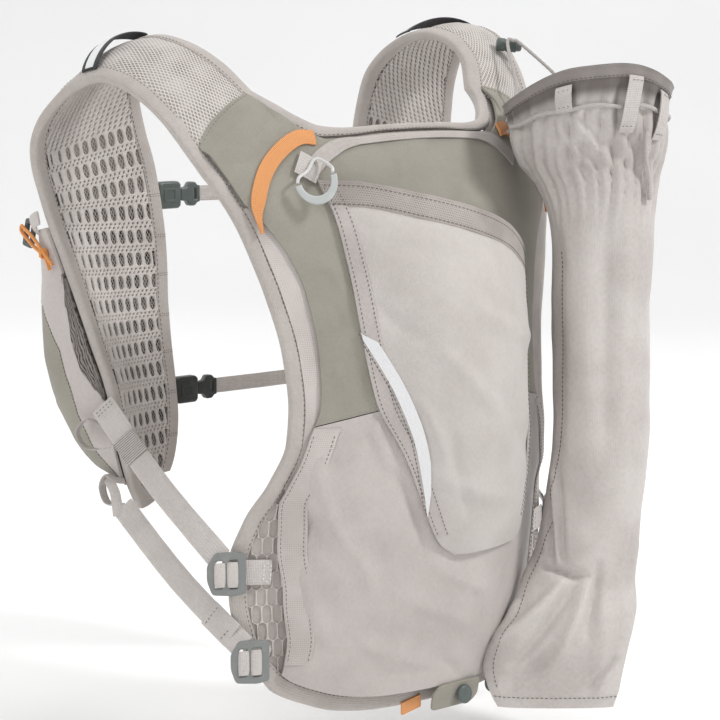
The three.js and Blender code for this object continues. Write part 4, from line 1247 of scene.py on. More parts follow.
def binding(rows, thick, name, nodes, right=0, seams=()):
    """A tape swept along rows of (body-side point, free-edge point, their normals)."""
    rows = np.asarray(rows, float)
    run = run_along(rows[:, 0])
    profile = np.array(PROFILE)
    s, h = profile[:, 0][None, :, None], profile[:, 1][None, :, None]
    base = mix(rows[:, None, 0], rows[:, None, 1], s)
    normal = unit(mix(rows[:, None, 2], rows[:, None, 3], s))
    pucker = 0.1 * np.sin(run * 2 * math.pi / 3.2)[:, None, None] * np.exp(-(((s - 0.16) / 0.12) ** 2))
    uneven = 0.16 * unevenness(run[:, None], profile[:, 0][None] * 9, 21, 41)[..., None]
    rings = base + normal * (0.3 - h * (thick + 0.3) + (pucker + uneven) * (h < 0.2))
    girth = run_along(profile * (BINDING_WIDTH, thick))
    shape = ring_loft(rings, uv_grid(girth, run))
    turned(shape, right).piece(name, BINDING_CLOTH, "binding", nodes, smooth=50)
    stitches = Shape()
    line = mix(rows[:, 0], rows[:, 1], STITCH_SHARE)
    m = unit(mix(rows[:, 2], rows[:, 3], STITCH_SHARE))
    for side, lift in ((1, 0.42), (-1, -(thick + 0.05))):
        stitch_row(stitches, line + m * lift, m * side, 1.8, 3.0, 0.24)
    turned(stitches, right).piece(name + "_stitches", DARK_THREAD, "binding")
    if len(seams):
        cross = Shape()
        for at in seams:
            i = int(np.clip(np.searchsorted(run, at), 1, len(rows) - 2))
            tangent = unit(rows[i + 1, 0] - rows[i - 1, 0])
            for half in (-0.7, 0.7):
                ring = rings[i] + tangent * half
                m = unit(ring - ring.mean(0))
                path, m = np.concatenate([ring, ring[:1]]), np.concatenate([m, m[:1]])
                for face in (slice(0, 8), slice(9, None)):
                    stitch_row(cross, path[face], m[face], 1.0, 1.5, 0.2, 0.0)
        turned(cross, right).piece(name + "_seams", DARK_THREAD, "binding")


def pair_rows(first, second):
    """Rows of two points and two normals from two (points, normals) results."""
    return np.stack([first[0], second[0], first[1], second[1]], 1)


def armhole(right, name):
    z = np.linspace(-367.7, -67, 150)
    outer = z - 6 * ease((z + 110) / 44)
    back = pair_rows(
        on_face(liner_y, back_at("edge_x", z) - BINDING_WIDTH, z),
        on_face(liner_y, back_at("edge_x", outer), outer),
    )
    t = np.linspace(0.04, STRAP_END, 190)
    side = pair_rows(on_strap(t, arm_share(t, right), 0, right), on_strap(t, np.ones_like(t), 0, right))
    keys = [side[-1:]]
    for v, t_far, v_far in ((0.68, 18.6, 0.9), (0.5, 18.95, 0.5), (0.32, 18.6, 0.1)):
        keys.append(pair_rows(on_strap([STRAP_END], [v]), on_strap([t_far], [v_far])))
    tip = catmull(np.concatenate(keys), 26)[1:]
    rows = np.concatenate([back, side, tip])
    rows[:, 2:] = unit(rows[:, 2:])
    binding(rows, STRAP_WALL, "armhole_edge_" + name, ["armhole_binding_" + name], right)


def neck_half(right):
    t = np.linspace(STRAP_END - 0.15, 0.04, 190)
    side = pair_rows(on_strap(t, neck_share(t, right), 0, right), on_strap(t, np.zeros_like(t), 0, right))
    share = np.linspace(NECK["share"][-1], 0, 60)
    level, x, z = (read(NECK, "share", k, share) for k in ("liner", "x", "z"))
    back = pair_rows(
        on_face(liner_y, share * liner_edge(level), level + SEAM_GAP),
        on_face(liner_y, x, z),
    )
    return np.concatenate([side, back])


def mirrored_rows(rows):
    return (rows * np.array([-1.0, 1, 1]))[::-1]


def neck():
    rows = np.concatenate([neck_half(0), mirrored_rows(neck_half(1))[1:]])
    seams = [24, 52, 78, 104, 130, 156, 180]
    binding(rows, STRAP_WALL, "neck_edge", ["neck_binding"], seams=seams)


def hem():
    share = np.linspace(1, 0, 90)
    level, x, z = (read(HEM, "share", k, share) for k in ("liner", "x", "z"))
    half = pair_rows(
        on_face(liner_y, share * liner_edge(level), level - SEAM_GAP),
        on_face(liner_y, x, z - SEAM_GAP),
    )
    rows = np.concatenate([half, mirrored_rows(half)[1:]])
    binding(rows, LINER_WALL, "hem_edge", ["hem_binding"])


armhole(0, "left")
armhole(1, "right")
neck()
hem()

# Back pocket

POCKET_FOLDS = [
    (330, 240, 352, 330, 8, 0.87, 3),
    (470, 300, 545, 345, 9, 2.18, 5),
    (440, 350, 500, 420, 8, 1.9, -4),
    (500, 380, 540, 470, 8, -2.18, 4),
    (372, 300, 430, 345, 8, -1.63, 4),
    (430, 470, 520, 500, 9, 2.18, 5),
    (450, 420, 470, 520, 7, -1.9, 3),
    (490, 230, 545, 275, 9, 0.76, -3),
    (400, 240, 470, 262, 9, -0.54, 3),
    (418, 396, 448, 470, 6, 1.9, -3),
    (520, 300, 540, 400, 7, 1.63, -2),
]


def pocket():
    share = np.linspace(-1, 1, 96)[None]
    mouth = read(POCKET_MOUTH, "share", "z", share)
    b = np.linspace(0, 1, 104)[:, None]
    z = mix(POCKET_BOTTOM, mouth, b)
    share = np.broadcast_to(share, z.shape)
    x = share * pocket_half(share, z)
    p, n = on_face(pocket_y, x, z)
    below = mouth - z
    border = np.minimum(1, (1 - np.abs(share)) * 7) * np.minimum(1, (z - POCKET_BOTTOM) / 7)
    soft = 0.5 * unevenness(x, z, 48, 51) + 0.14 * unevenness(x, z * 1.3, 14, 52)
    lift = (soft + folds(p, POCKET_FOLDS)) * border * ease(below / 20)
    ridge = 0.35 * np.exp(-(((below - 15.5) / 1.1) ** 2))
    shape = wall(p, n, CLOTH_WALL + lift - ridge, lift)
    shape.piece("pocket", POCKET_CLOTH, "light_cloth", ["back_pocket"])

    drop = np.linspace(0, 1, 12)[:, None]
    s = np.linspace(-1, 1, 130)[None]
    top = read(POCKET_MOUTH, "share", "z", s)
    level = top + 0.6 - 15.4 * drop
    q, m = on_face(pocket_y, s * pocket_half(s, level), level)
    roll = 0.5 * np.exp(-((drop / 0.1) ** 2))
    band = wall(q, m, CLOTH_WALL + 0.75 - 0.45 * ease((drop - 0.9) * 10) + roll, CLOTH_WALL * 0.4)
    band.piece("pocket_band", BAND_CLOTH, "light_cloth")

    edge = Shape()
    line = Shape()
    for side in (1, -1):
        w = np.linspace(0, 1, 8)[None]
        corner = float(read(POCKET_MOUTH, "share", "z", side))
        level = np.linspace(POCKET_BOTTOM + 14, corner - 3, 110)[:, None]
        half = pocket_half(np.array(side), level)
        q, m = on_face(pocket_y, side * (half - 0.4 - 7.6 * w), level)
        part = wall(q, m, CLOTH_WALL + 0.55 - 0.3 * (w > 0.9), CLOTH_WALL * 0.5)
        edge.take(part)
        level = level[:, 0]
        for offset in (1.8, 7.0):
            x = side * (pocket_half(np.array(side), level) - offset)
            q, m = on_face(pocket_y, x, level, CLOTH_WALL + 0.65)
            stitch_row(line, q, m, 1.8, 2.8, 0.23)
    for drop in (2.4, 13.4):
        s = np.linspace(-0.98, 0.98, 120)
        level = read(POCKET_MOUTH, "share", "z", s) - drop
        q, m = on_face(pocket_y, s * pocket_half(s, level), level, CLOTH_WALL + 0.9)
        stitch_row(line, q, m, 1.8, 2.8, 0.23)
    edge.piece("pocket_edges", CLOTH, "light_cloth")
    line.piece("pocket_stitches", DARK_THREAD, "binding")

    down = np.linspace(0, 1, 60)
    left = catmull([(70, -168.5), (56, -203), (43, -243), (33.5, -282)], 60)
    width = np.interp(down, [0, 0.45, 0.7, 0.86, 1], [7.8, 7, 5.6, 3.4, 0.3])
    w = np.linspace(0, 1, 6)[None]
    x = left[:, None, 0] - width[:, None] * w
    z = left[:, None, 1] - 5.8 * w * (1 - down[:, None])
    q, m = on_face(pocket_y, x, z)
    strip = wall(q, m, CLOTH_WALL + 1.35, CLOTH_WALL * 0.6)
    strip.piece("reflective_strip", FOIL, "loop_tape")
    seam = Shape()
    q, m = on_face(pocket_y, left[:, 0] + 1.3, left[:, 1], CLOTH_WALL + 0.9)
    stitch_row(seam, q, m, 1.9, 2.8, 0.24)
    seam.piece("strip_stitches", DARK_THREAD, "binding")


pocket()

# Pole quiver

QUIVER_FOLDS = [
    (541, 116, 590, 172, 6, -3.04, 4),
    (558, 112, 606, 168, 6, -3.35, 4),
    (578, 110, 616, 156, 5, -2.74, 3),
    (594, 109, 634, 176, 6, -3.04, 3),
    (550, 113, 602, 176, 4, 1.98, 4),
    (570, 111, 616, 168, 4, 2.13, 3),
    (614, 112, 640, 156, 4, -2.13, 0),
    (524, 118, 531, 176, 4.5, -3.04, 0),
    (511, 122, 527, 172, 4, 2.28, 0),
    (631, 124, 648, 205, 5, -2.59, 0),
    (652, 150, 659, 196, 4, -2.13, 0),
    (545, 175, 566, 260, 8, 1.52, -3),
    (576, 165, 592, 520, 12, 2.13, 0),
    (556, 190, 560, 470, 7, -2.83, 0),
    (606, 180, 606, 470, 8, -1.74, 0),
    (628, 175, 622, 500, 7, 1.22, 0),
    (546, 460, 552, 566, 4, -4.77, 0),
    (558, 470, 564, 572, 4, -4.34, 1),
    (552, 450, 558, 568, 3.5, 3.04, 0),
    (540, 560, 592, 578, 5, -6.51, 4),
    (566, 578, 482, 652, 6, 5.21, -5),
    (578, 576, 508, 668, 6, -5.64, -5),
    (590, 577, 542, 682, 7, 4.98, -5),
    (600, 560, 588, 640, 5, -3.91, 0),
    (604, 590, 600, 700, 10, 3.91, 0),
    (520, 600, 494, 640, 5, 3.47, 2),
    (618, 655, 586, 696, 4, -4.34, 0),
    (560, 640, 500, 692, 6, -3.91, -4),
    (640, 500, 620, 640, 6, -2.83, 0),
]


# One row per loop over the mouth's cord: number, angle, top, foot and how far it leans, in degrees.
QUIVER_LOOPS = [(1, 111, -45, -54, 0), (2, 60, -43, -61, 8), (3, 29, -45, -63, 9)]


def sleeve_lift(deg, level, points):
    """How far the cloth stands off the form: cinched at the cord, gathered round it, folded below."""
    rad = np.radians(deg)
    facing = ease((np.sin(rad) + 0.15) * 2.2)
    above_cord = level - QUIVER_CINCH
    cinch = np.exp(-((above_cord / 4.2) ** 2))
    fade = ease((level + 122) / 56) * (1 - ease((level + 52) / 9))
    narrow = np.abs(np.sin(rad * 15 + above_cord * 0.07)) ** 0.7
    gathers = narrow + 0.5 * np.abs(np.sin(rad * 9.5 + 0.8 + above_cord * 0.05)) - 0.9
    above = ease((level + 54) / 6) * (1 - ease((level + 42) / 8))
    foot = ease((-level - 320) / 40)
    lift = (
        -1.6 * cinch
        + 3.3 * gathers * fade
        + 0.5 * np.sin(rad * 19) * above
        + 0.8 * unevenness(rad * 30, level, 52, 61)
        + 0.2 * unevenness(rad * 30, level * 0.4, 9, 62)
        + folds(points, QUIVER_FOLDS) * facing
        + foot * 1.2 * np.sin(rad * 7 + level * 0.05) * (1 - facing)
    )
    return lift * np.minimum(1, (level + 419) / 6)


def quiver():
    cols, rows = 160, 200
    degrees = np.linspace(0, 360, cols, endpoint=False)[None]
    z = np.linspace(QUIVER_FOOT, QUIVER_TOP, rows)[:, None]
    deg, level = np.broadcast_arrays(degrees, z)
    p, n = on_quiver(deg, level)
    lift = sleeve_lift(deg, level, p)
    outer = p + n * lift[..., None]
    shrunk = p - n * (QUIVER_WALL - np.minimum(lift, 0) * 0.9)[..., None]
    rings = np.concatenate([outer, shrunk[::-1][:-1]])
    girth = np.linspace(0, 20, cols)
    run = np.concatenate([level[:, 0], level[::-1][:-1, 0]]) / 10
    uv = np.stack(np.meshgrid(girth, run), -1).reshape(-1, 2)
    ring_loft(rings, uv).piece("quiver_sleeve", QUIVER_CLOTH, "light_cloth", ["quiver"], smooth=60)

    def over(deg, level, add):
        q, m = on_quiver(deg, level)
        return q + m * (sleeve_lift(deg, level, q) + add)[..., None], m

    deg, level = np.broadcast_arrays(np.linspace(0, 360, 181)[:, None], np.linspace(-44, -38.2, 8)[None])
    q, m = over(deg, level, 0)
    roll = 0.6 * ease((level + 40) / 1.6)
    rim = slab(q + m * (0.55 + roll)[..., None], q - m * (QUIVER_WALL + 0.5), lengths_uv(q))
    rim.piece("quiver_rim_band", RIM_CLOTH, "light_cloth", smooth=60)

    stitches = Shape()
    for a, level, add in (
        (np.linspace(0, 360, 300), -43.4, 0.75),
        (np.linspace(10, 172, 120), -411.0, 0.4),
        (152.0, np.linspace(-405, -128, 260), 0.35),
    ):
        a, level = np.broadcast_arrays(a, level)
        q, m = over(a[None], level[None], add)
        stitch_row(stitches, q[0], m[0], 1.9, 2.9, 0.24)
    stitches.piece("quiver_stitches", DARK_THREAD, "binding")

    a = np.linspace(-168, 168, 220)
    q, m = on_quiver(a, np.full_like(a, QUIVER_CINCH), 1.7)
    wander = np.stack([0 * a, 0 * a, 0.8 * np.sin(np.radians(a) * 9)], -1)
    tube(q + wander, 1.35, 8, lumps=0.08).piece("quiver_drawcord", CORD, "cord", ["quiver_cord"], smooth=70)

    for number, angle, top, foot, lean in QUIVER_LOOPS:
        heights = np.linspace(top, foot, 24)
        bow = np.sin(np.pi * np.linspace(0, 1, 24)) ** 0.6
        turn = np.linspace(-5.6, 5.6, 7)[None]
        middle = angle + lean * np.linspace(0, 1, 24)[:, None]
        q, m = on_quiver(middle + turn, heights[:, None] + 0 * turn, 1.0 + 3.5 * bow[:, None])
        name = "quiver_loop_%d" % number
        wall(q, m, 0.9, 0.0).piece(name + "_tape", WEBBING, "light_cloth", [name])
        ends = Shape()
        for height, out, turned_by in ((top - 1.5, 4.1, 0), (foot + 2, 4.5, lean)):
            line = angle + turned_by + np.linspace(-4.6, 4.6, 9)
            q, m = on_quiver(line, np.full_like(line, height), out)
            stitch_row(ends, q, m, 1.6, 2.2, 0.22)
        ends.piece(name + "_stitches", DARK_THREAD, "binding")


quiver()


def declared_cord(shape, path, name, material, slot, nodes):
    """A limp hanging cord as a piece; its path is turned to metres but not used."""
    made = shape.piece(name, material, slot, nodes, smooth=70)
    path = np.asarray(path) * MM


TAIL = [(51, -60, 3.4), (49, -71, 3.2), (44, -83, 2.6), (40, -95, 2.2)]


def hanging_cord():
    keys = [on_quiver([a], [z], lift)[0][0] for a, z, lift in TAIL]
    path = catmull(keys, 36)
    rope = tube(path, 1.8, 10, lumps=0.1)
    declared_cord(rope, path, "hanging_cord", CORD, "cord", ["quiver_hanging_cord"])


hanging_cord()

# Tapes on the cover


TAPE_STEPS = 90


def centred_tape(face, keys, width, thick, lift, name, material, slot, nodes, side=1, wave=0.0):
    """A tape of given width, or widths, that follows a face along key points of x and level."""
    line = catmull(keys, TAPE_STEPS)
    tangent = np.gradient(line, axis=0)
    tangent = tangent / np.linalg.norm(tangent, axis=-1, keepdims=True)
    s = np.linspace(-0.5, 0.5, 9)[None]
    wide = np.broadcast_to(np.asarray(width, float), (TAPE_STEPS,))[:, None]
    x = side * (line[:, None, 0] + s * wide * tangent[:, None, 1])
    z = line[:, None, 1] - s * wide * tangent[:, None, 0]
    p, n = on_face(face, x, z)
    run = np.arange(TAPE_STEPS)[:, None]
    edge = 0.12 * (np.abs(s) > 0.4)
    ripple = wave * np.sin(run / 4.0 + 9 * s)
    shape = wall(p, n, lift + thick - edge + ripple, lift + ripple)
    shape.piece(name, material, slot, nodes)


ORANGE_KEYS = [(77, -55), (86, -54.5), (97, -60), (108, -69.5), (116, -81), (120.5, -95), (119.5, -109)]
ARCH_KEYS = [(85, -73.5), (76, -66), (66, -60.5), (56, -57.8), (40, -56.4), (20, -55.3), (0, -55)]
ARCH_KEYS += [(-x, z) for x, z in ARCH_KEYS[-2::-1]]


def cover_tapes():
    width = 8 * (1 - 0.75 * ease((np.linspace(0, 1, TAPE_STEPS) - 0.72) / 0.28))
    for name, side in HALVES:
        centred_tape(
            cover_y, ORANGE_KEYS, width, 1.3, CLOTH_WALL + 0.45, "orange_tape_" + name,
            ORANGE_TAPE, "orange_tape", ["orange_webbing_" + name], side, 0.12,
        )
    from_middle = np.abs(np.linspace(-1, 1, TAPE_STEPS))
    width = np.interp(from_middle, [0, 0.55, 0.75, 1], [3.6, 4.2, 8.2, 9.2])
    centred_tape(
        cover_y, ARCH_KEYS, width, 1.1, CLOTH_WALL + 0.35, "neck_arch",
        BINDING_CLOTH, "binding", ["neck_band"],
    )


cover_tapes()

# Small pieces cut from flat outlines with rounded edges


def plate(name, outline, holes, depth, centre, right, up, material, nodes, bevel=0.5, bow=0.0):
    """A bevelled plate; bow curls it about its up axis by that depth at its ends."""
    curve = bpy.data.curves.new(name, "CURVE")
    curve.dimensions = "2D"
    curve.fill_mode = "BOTH"
    curve.extrude = depth / 2 - bevel
    curve.bevel_depth = bevel
    curve.bevel_resolution = 2
    curve.offset = -bevel
    for ring in (outline, *holes):
        spline = curve.splines.new("POLY")
        spline.points.add(len(ring) - 1)
        for point, (a, b) in zip(spline.points, ring):
            point.co = (a, b, 0, 1)
        spline.use_cyclic_u = True
    holder = bpy.data.objects.new(name, curve)
    scene.collection.objects.link(holder)
    bpy.context.view_layer.update()
    mesh = bpy.data.meshes.new_from_object(holder.evaluated_get(bpy.context.evaluated_depsgraph_get()))
    bpy.data.objects.remove(holder)
    u = unit(right)
    w = np.asarray(up, float)
    w = unit(w - u * np.dot(u, w))
    basis = np.stack([u, w, np.cross(u, w)])
    local = np.array([v.co for v in mesh.vertices])
    widest = np.abs(local[:, 0]).max()
    local[:, 2] += bow * (local[:, 0] / widest) ** 2
    faces = [tuple(f.vertices) for f in mesh.polygons]
    bpy.data.meshes.remove(mesh)
    made = to_object(name, local @ basis + np.asarray(centre, float), faces, local[:, :2] / 10, 32)
    return finish_piece(made, material, nodes)


def rounded(corners, radius, steps=4):
    """An outline with its corners rounded off."""
    corners = np.asarray(corners, float)
    made = []
    for i, here in enumerate(corners):
        a, b = corners[i - 1], corners[(i + 1) % len(corners)]
        r = min(radius, 0.45 * np.linalg.norm(a - here), 0.45 * np.linalg.norm(b - here))
        p, q = here + unit(a - here) * r, here + unit(b - here) * r
        for t in np.linspace(0, 1, steps):
            made.append(tuple((1 - t) ** 2 * p + 2 * t * (1 - t) * here + t * t * q))
    return made


def box(a0, b0, a1, b1):
    return [(a0, b0), (a1, b0), (a1, b1), (a0, b1)]


def lathe(centre, axis, side, stations, count):
    """A turned body from stations of (place along its axis, radius)."""
    out = np.cross(side, axis)
    angle = np.linspace(0, 2 * math.pi, count, endpoint=False)
    circle = side * np.cos(angle)[:, None] + out * np.sin(angle)[:, None]
    return ring_loft(np.stack([centre + axis * a + circle * r for a, r in stations]))


def flipped(points):
    return np.asarray(points, float) * np.array([-1.0, 1, 1])


# Zip pull: half ring, doubled cord with a knot, and its tab

PULL_CENTRE = np.array([92.3, 123.6, -77.3])
PULL_FACE = unit([0.66, 0.74, 0.14])
PULL_RIGHT = unit(np.cross([0, 0, 1], PULL_FACE))
PULL_UP = np.cross(PULL_FACE, PULL_RIGHT)
PULL_TILT = math.radians(18)


def on_pull(a, b, out):
    return PULL_CENTRE + PULL_RIGHT * a + PULL_UP * b + PULL_FACE * out


def arc(start, end, wide, tall, count=22):
    """Points of a tilted oval between two angles, in degrees."""
    made = []
    for angle in np.radians(np.linspace(start, end, count)):
        a, b = wide * math.cos(angle), tall * math.sin(angle)
        c, s = math.cos(PULL_TILT), math.sin(PULL_TILT)
        made.append((a * c - b * s, a * s + b * c))
    return made


def zip_pull():
    ring = arc(180, 360, 12.8, 14.8) + arc(360, 180, 9, 9.6)
    plate(
        "zip_pull_ring", ring, [], 3.2, PULL_CENTRE, PULL_RIGHT, PULL_UP,
        PALE_PLASTIC, ["zip_pull"], 0.9,
    )
    keys = [(-10.8, -2.2, 0), (-10, 1.5, -1.5), (-5, 6, -7), (-2, 12, -11.2), (1, 13.6, -12)]
    keys += [(5, 11.6, -10.5), (9.4, 7.8, -4), (9.9, 4.6, 0)]
    path = catmull([on_pull(*k) for k in keys], 60)
    rope = tube(path, 1.0, 8, lumps=0.08)
    declared_cord(rope, path, "zip_cord", WHITE_CORD, "white_cord", ["zip_pull_cord"])
    centred_tape(
        cover_y, [(92, -68.5), (86.5, -72), (81, -75.5)], 14, 0.8, CLOTH_WALL + 1.8,
        "zip_tab", WEBBING, "light_cloth", ["zip_pull_tab"],
    )


zip_pull()

# Side straps with ladder locks, wing anchors and what is threaded through the slots

SIDE_FACE = unit([0.8, 0.58, 0.13])
# By side strap: its level, front end, ladder lock, and the level and x of its anchor on the wing.
SIDES = [
    ("upper", (150, -13, -222), (139, 95, -313), -314, 112),
    ("lower", (136, -12, -288.5), (134.3, 111, -364.7), -366, 115),
]
LOCK = [(-12, -4), (-9, -12.5), (4, -13.5), (11.5, -12), (11.5, 12), (4, 13.5), (-7, 13), (-12, 5)]
# Where the webbing comes up through each slot, and how wide it is there.
SLOT_HUMPS = [(-4.4, 15.0), (3.3, 15.6)]
LOCK_HOLES = [box(-7.5, -8.4, -2.6, 8.3), box(1.4, -8.8, 6.4, 8.7)]


def hump(middle, along, out, width):
    """Webbing that comes up through a slot and goes back down."""
    side = [(3.3, -2.6), (3.2, 0.6), (2.1, 2.4), (-2.1, 2.4), (-3.2, 0.6), (-3.3, -2.6)]
    keys = [middle + along * a + out * b for a, b in side]
    path = catmull(keys, 22)
    return tape(path, width, path - (middle - out * 1.2), 0.8, 0.12, 7, 0.05)


SIDE_STEPS = 110
ANCHOR_LIFT = 1.3


def sides():
    for level, start, lock, anchor_z, anchor_x in SIDES:
        edge = float(back_at("edge_x", anchor_z))
        _, wing = on_face(liner_y, np.array(edge - 6), np.array(anchor_z))
        outwards = unit(-np.cross([0, 0, 1], wing))
        centre = np.array(lock, float)
        end = centre + outwards * 3.4 + np.array([0, 0, 8.5]) - wing * 4.4
        start = np.array(start, float)
        middle = mix(start, end, 0.5) + np.array([2, 0, -2])
        path = catmull([start, middle, end], SIDE_STEPS)
        turn = ease((np.linspace(0, 1, SIDE_STEPS)[:, None] - 0.72) / 0.24)
        face = mix(SIDE_FACE, wing, turn)
        tangent, normal, side_way = path_frames(path, face)
        pieces = {"side_webbing": (tape(path, WEBBING_WIDTH, face, 1.5, 0.25, 9, 0.12), WEBBING, "webbing")}
        ribs, stitches = Shape(), Shape()

        def bar(at, lift, inset):
            i = int(at)
            spot = mix(path[i], path[i + 1], at - i) + normal[i] * lift
            return np.linspace(-1, 1, 9)[:, None] * side_way[i] * (WEBBING_WIDTH / 2 + inset) + spot

        if level == "upper":
            patch = path[:38] + normal[:38] * 1.15
            lines = (2, 4)
            ground = tape(path[22:38] + normal[22:38] * 1.5, WEBBING_WIDTH + 1, SIDE_FACE, 0.9, 0.2, 9)
            pieces["side_patch_ground"] = (ground, RIM_CLOTH, "binding")
            for k in range(13):
                rod = tube(bar(22.6 + k * 1.15, 2.0, 0.5), 0.5, 6, tangent[28])
                ribs.take(rod)
            pieces["side_patch_ribs"] = (ribs, WEBBING, "webbing")
        else:
            patch = path[82:102] + normal[82:102] * 1.15
            lines = (84.5, 97.5)
            keys = [start + np.array(step) for step in ((-6, -25, 15), (0.5, -8, 8), (3.6, -0.6, -5))]
            band = tape(catmull(keys, 20), 7, SIDE_FACE, 1.1, 0.2, 7)
            pieces["side_loop_end"] = (band, WEBBING, "webbing")
        patch = tape(patch, WEBBING_WIDTH + 1.2, SIDE_FACE, 0.9, 0.2, 9)
        pieces["side_patch"] = (patch, WEBBING, "webbing")
        for at in lines:
            stitch_row(stitches, bar(at, 1.85, -1), np.tile(normal[int(at)], (9, 1)), 1.6, 2.3, 0.24)
        pieces["side_patch_stitches"] = (stitches, DARK_THREAD, "binding")

        last = centre - outwards * 10 - wing * 2.6
        first = on_face(liner_y, np.array(anchor_x), np.array(anchor_z), ANCHOR_LIFT)[0]
        anchor = catmull([first, mix(first, last, 0.5), last], 30)
        pieces["anchor_webbing"] = (tape(anchor, WEBBING_WIDTH, wing, 1.5, 0.1, 9), WEBBING, "webbing")
        box_line = Shape()
        _, a_normal, a_side = path_frames(anchor, wing)
        half = WEBBING_WIDTH / 2 - 2.2
        places = ((1, half), (8, half), (8, -half), (1, -half), (1, half))
        corners = np.array([anchor[i] + a_side[i] * k for i, k in places]) + a_normal[1]
        for a, b in zip(corners[:-1], corners[1:]):
            stitch_row(box_line, np.linspace(a, b, 6), np.tile(a_normal[1], (6, 1)), 1.8, 2.7, 0.32)
        pieces["anchor_stitches"] = (box_line, WHITE_THREAD, "white_cord")
        humps = [hump(centre - outwards * a, outwards, wing, wide) for a, wide in SLOT_HUMPS]
        pieces["threaded_webbing"] = (join(humps), WEBBING, "webbing")

        for name, side in HALVES:
            full = "%s_%s" % (level, name)
            replaced = {"side_webbing": ["side_strap_" + full], "anchor_webbing": ["wing_anchor_" + full]}
            for kind, (shape, material, slot) in pieces.items():
                turned(shape, side < 0).piece(kind + "_" + full, material, slot, replaced.get(kind, []))
            mirror = np.array([side, 1.0, 1.0])
            ring = [(a * side, b) for a, b in LOCK][::side]
            holes = [[(a * side, b) for a, b in h][::side] for h in LOCK_HOLES]
            plate(
                "lock_" + full, rounded(ring, 2.0), [rounded(h, 0.7, 3) for h in holes], 3.2,
                centre * mirror, -outwards * mirror * side, (0, 0, 1),
                GREY_PLASTIC, ["ladder_lock_" + full], 0.6,
            )


sides()

# Loops of narrow tape under the flask pocket


def side_loops():
    for name, t, reach, out, lean in (("upper", 15.7, 15, 8, 0.5), ("lower", 17.2, 14, 7.6, 0)):
        base = strap_point(np.array([t]), np.array([1.0]), 0)[0]

        def at(ahead, down):
            return base + np.array([out + ahead * lean, -ahead, -down])

        keys = [base + np.array([1.5, 1.5, 1]), at(1, -2), at(reach * 0.6, -4), at(reach, 4)]
        keys += [at(reach * 0.7, 13), at(1, 14.5), base + np.array([2.5, 2.5, -14])]
        path = catmull(keys, 60)
        shape = tape(path, 6, path - at(reach * 0.4, 5), 1.0, 0.1, 7, 0.08)
        for side_name, side in HALVES:
            full = "side_loop_%s_%s" % (name, side_name)
            turned(shape, side < 0).piece(full + "_tape", WEBBING, "webbing", [full])


side_loops()

# Flask pockets: olive outside, light cloth along the strap, dark stretch net between


def on_flask(t, u):
    """Points and normals of the pocket's cloth by strap station and share of its width."""
    t, u = np.broadcast_arrays(np.asarray(t, float), np.asarray(u, float))
    base, n = on_strap(t, mix(FLASK_FROM, FLASK_TO, u))
    border = np.minimum(1, np.minimum(u, 1 - u) * 14) * np.minimum(1, (17.3 - t) * 3)
    soft = 0.6 * unevenness(t * 22, u * 90, 34, 71) + 0.2 * unevenness(t * 22, u * 90, 12, 72)
    lift = read(FLASK, "station", "lift", t) * (1 - np.abs(2 * u - 1) ** 3.6) + soft * border
    p = base + n * (FLASK_LIFT + lift)[..., None]
    return p, renormal(p, n)


# Share of the pocket's width by strap station at which the light side starts, and then the net.
FLASK_SIDE_FROM = [(11, 0.05), (11.7, 0.3), (12.3, 0.6), (12.77, 0.85)]
FLASK_SIDE_FROM += [(13.66, 0.915), (15.4, 0.91), (16.31, 0.93), (17.05, 0.985)]
FLASK_NET_FROM = [(11, 1), (12.1, 1), (12.77, 0.98), (13.66, 0.962)]
FLASK_NET_FROM += [(14.2, 0.967), (14.6, 0.98), (15.1, 1), (17.05, 1)]


def flask():
    t = np.linspace(11, 17.3, 70)[:, None]
    p, n = on_flask(t, np.linspace(0, 0.955, 70)[None])
    pieces = {"flask_sleeve": (wall(p, n, CLOTH_WALL, 0.0), OLIVE_CLOTH, "olive_cloth")}
    pieces["flask_hem"] = (wall(p[:5], n[:5], CLOTH_WALL + 0.9, CLOTH_WALL * 0.3), BINDING_CLOTH, "binding")

    t = np.linspace(11, 17.05, 120)[:, None]
    side_from, net_from = (np.interp(t, *np.transpose(rows)) for rows in (FLASK_SIDE_FROM, FLASK_NET_FROM))
    w = np.linspace(0, 1, 24)[None]
    p, n = on_flask(t, mix(side_from, net_from, w))
    lip = 0.55 * np.exp(-(((w - 0.94) / 0.05) ** 2))
    side_panel = wall(p, n, CLOTH_WALL + 0.45 + lip, 0.0)
    pieces["flask_side"] = (side_panel, CLOTH, "light_cloth")
    seam = Shape()
    q, m = on_flask(np.tile(t, (1, 3)), side_from + np.array([[-0.012, -0.006, 0.0]]))
    stitch_row(seam, q[18:, 1] + m[18:, 1] * (CLOTH_WALL + 0.25), m[18:, 1], 1.7, 2.6, 0.22)
    pieces["flask_seam"] = (seam, DARK_THREAD, "binding")

    wedge = slice(22, 83)
    rows = np.arange(61)[:, None]
    w = np.linspace(0, 1, 14)[None]
    p, n = on_flask(t[wedge], mix(net_from[wedge] - 0.004, 1.0, w))
    ripple = 0.35 * np.sin(rows * 0.5 + 11 * w)
    pieces["flask_net"] = (wall(p, n, CLOTH_WALL + 0.5 + ripple, 0.0), SLEEVE_NET, "mesh")
    for name, side in HALVES:
        for kind, (shape, material, slot) in pieces.items():
            replaced = ["flask_pocket_" + name] if kind == "flask_sleeve" else []
            turned(shape, side < 0).piece(kind + "_" + name, material, slot, replaced)


flask()


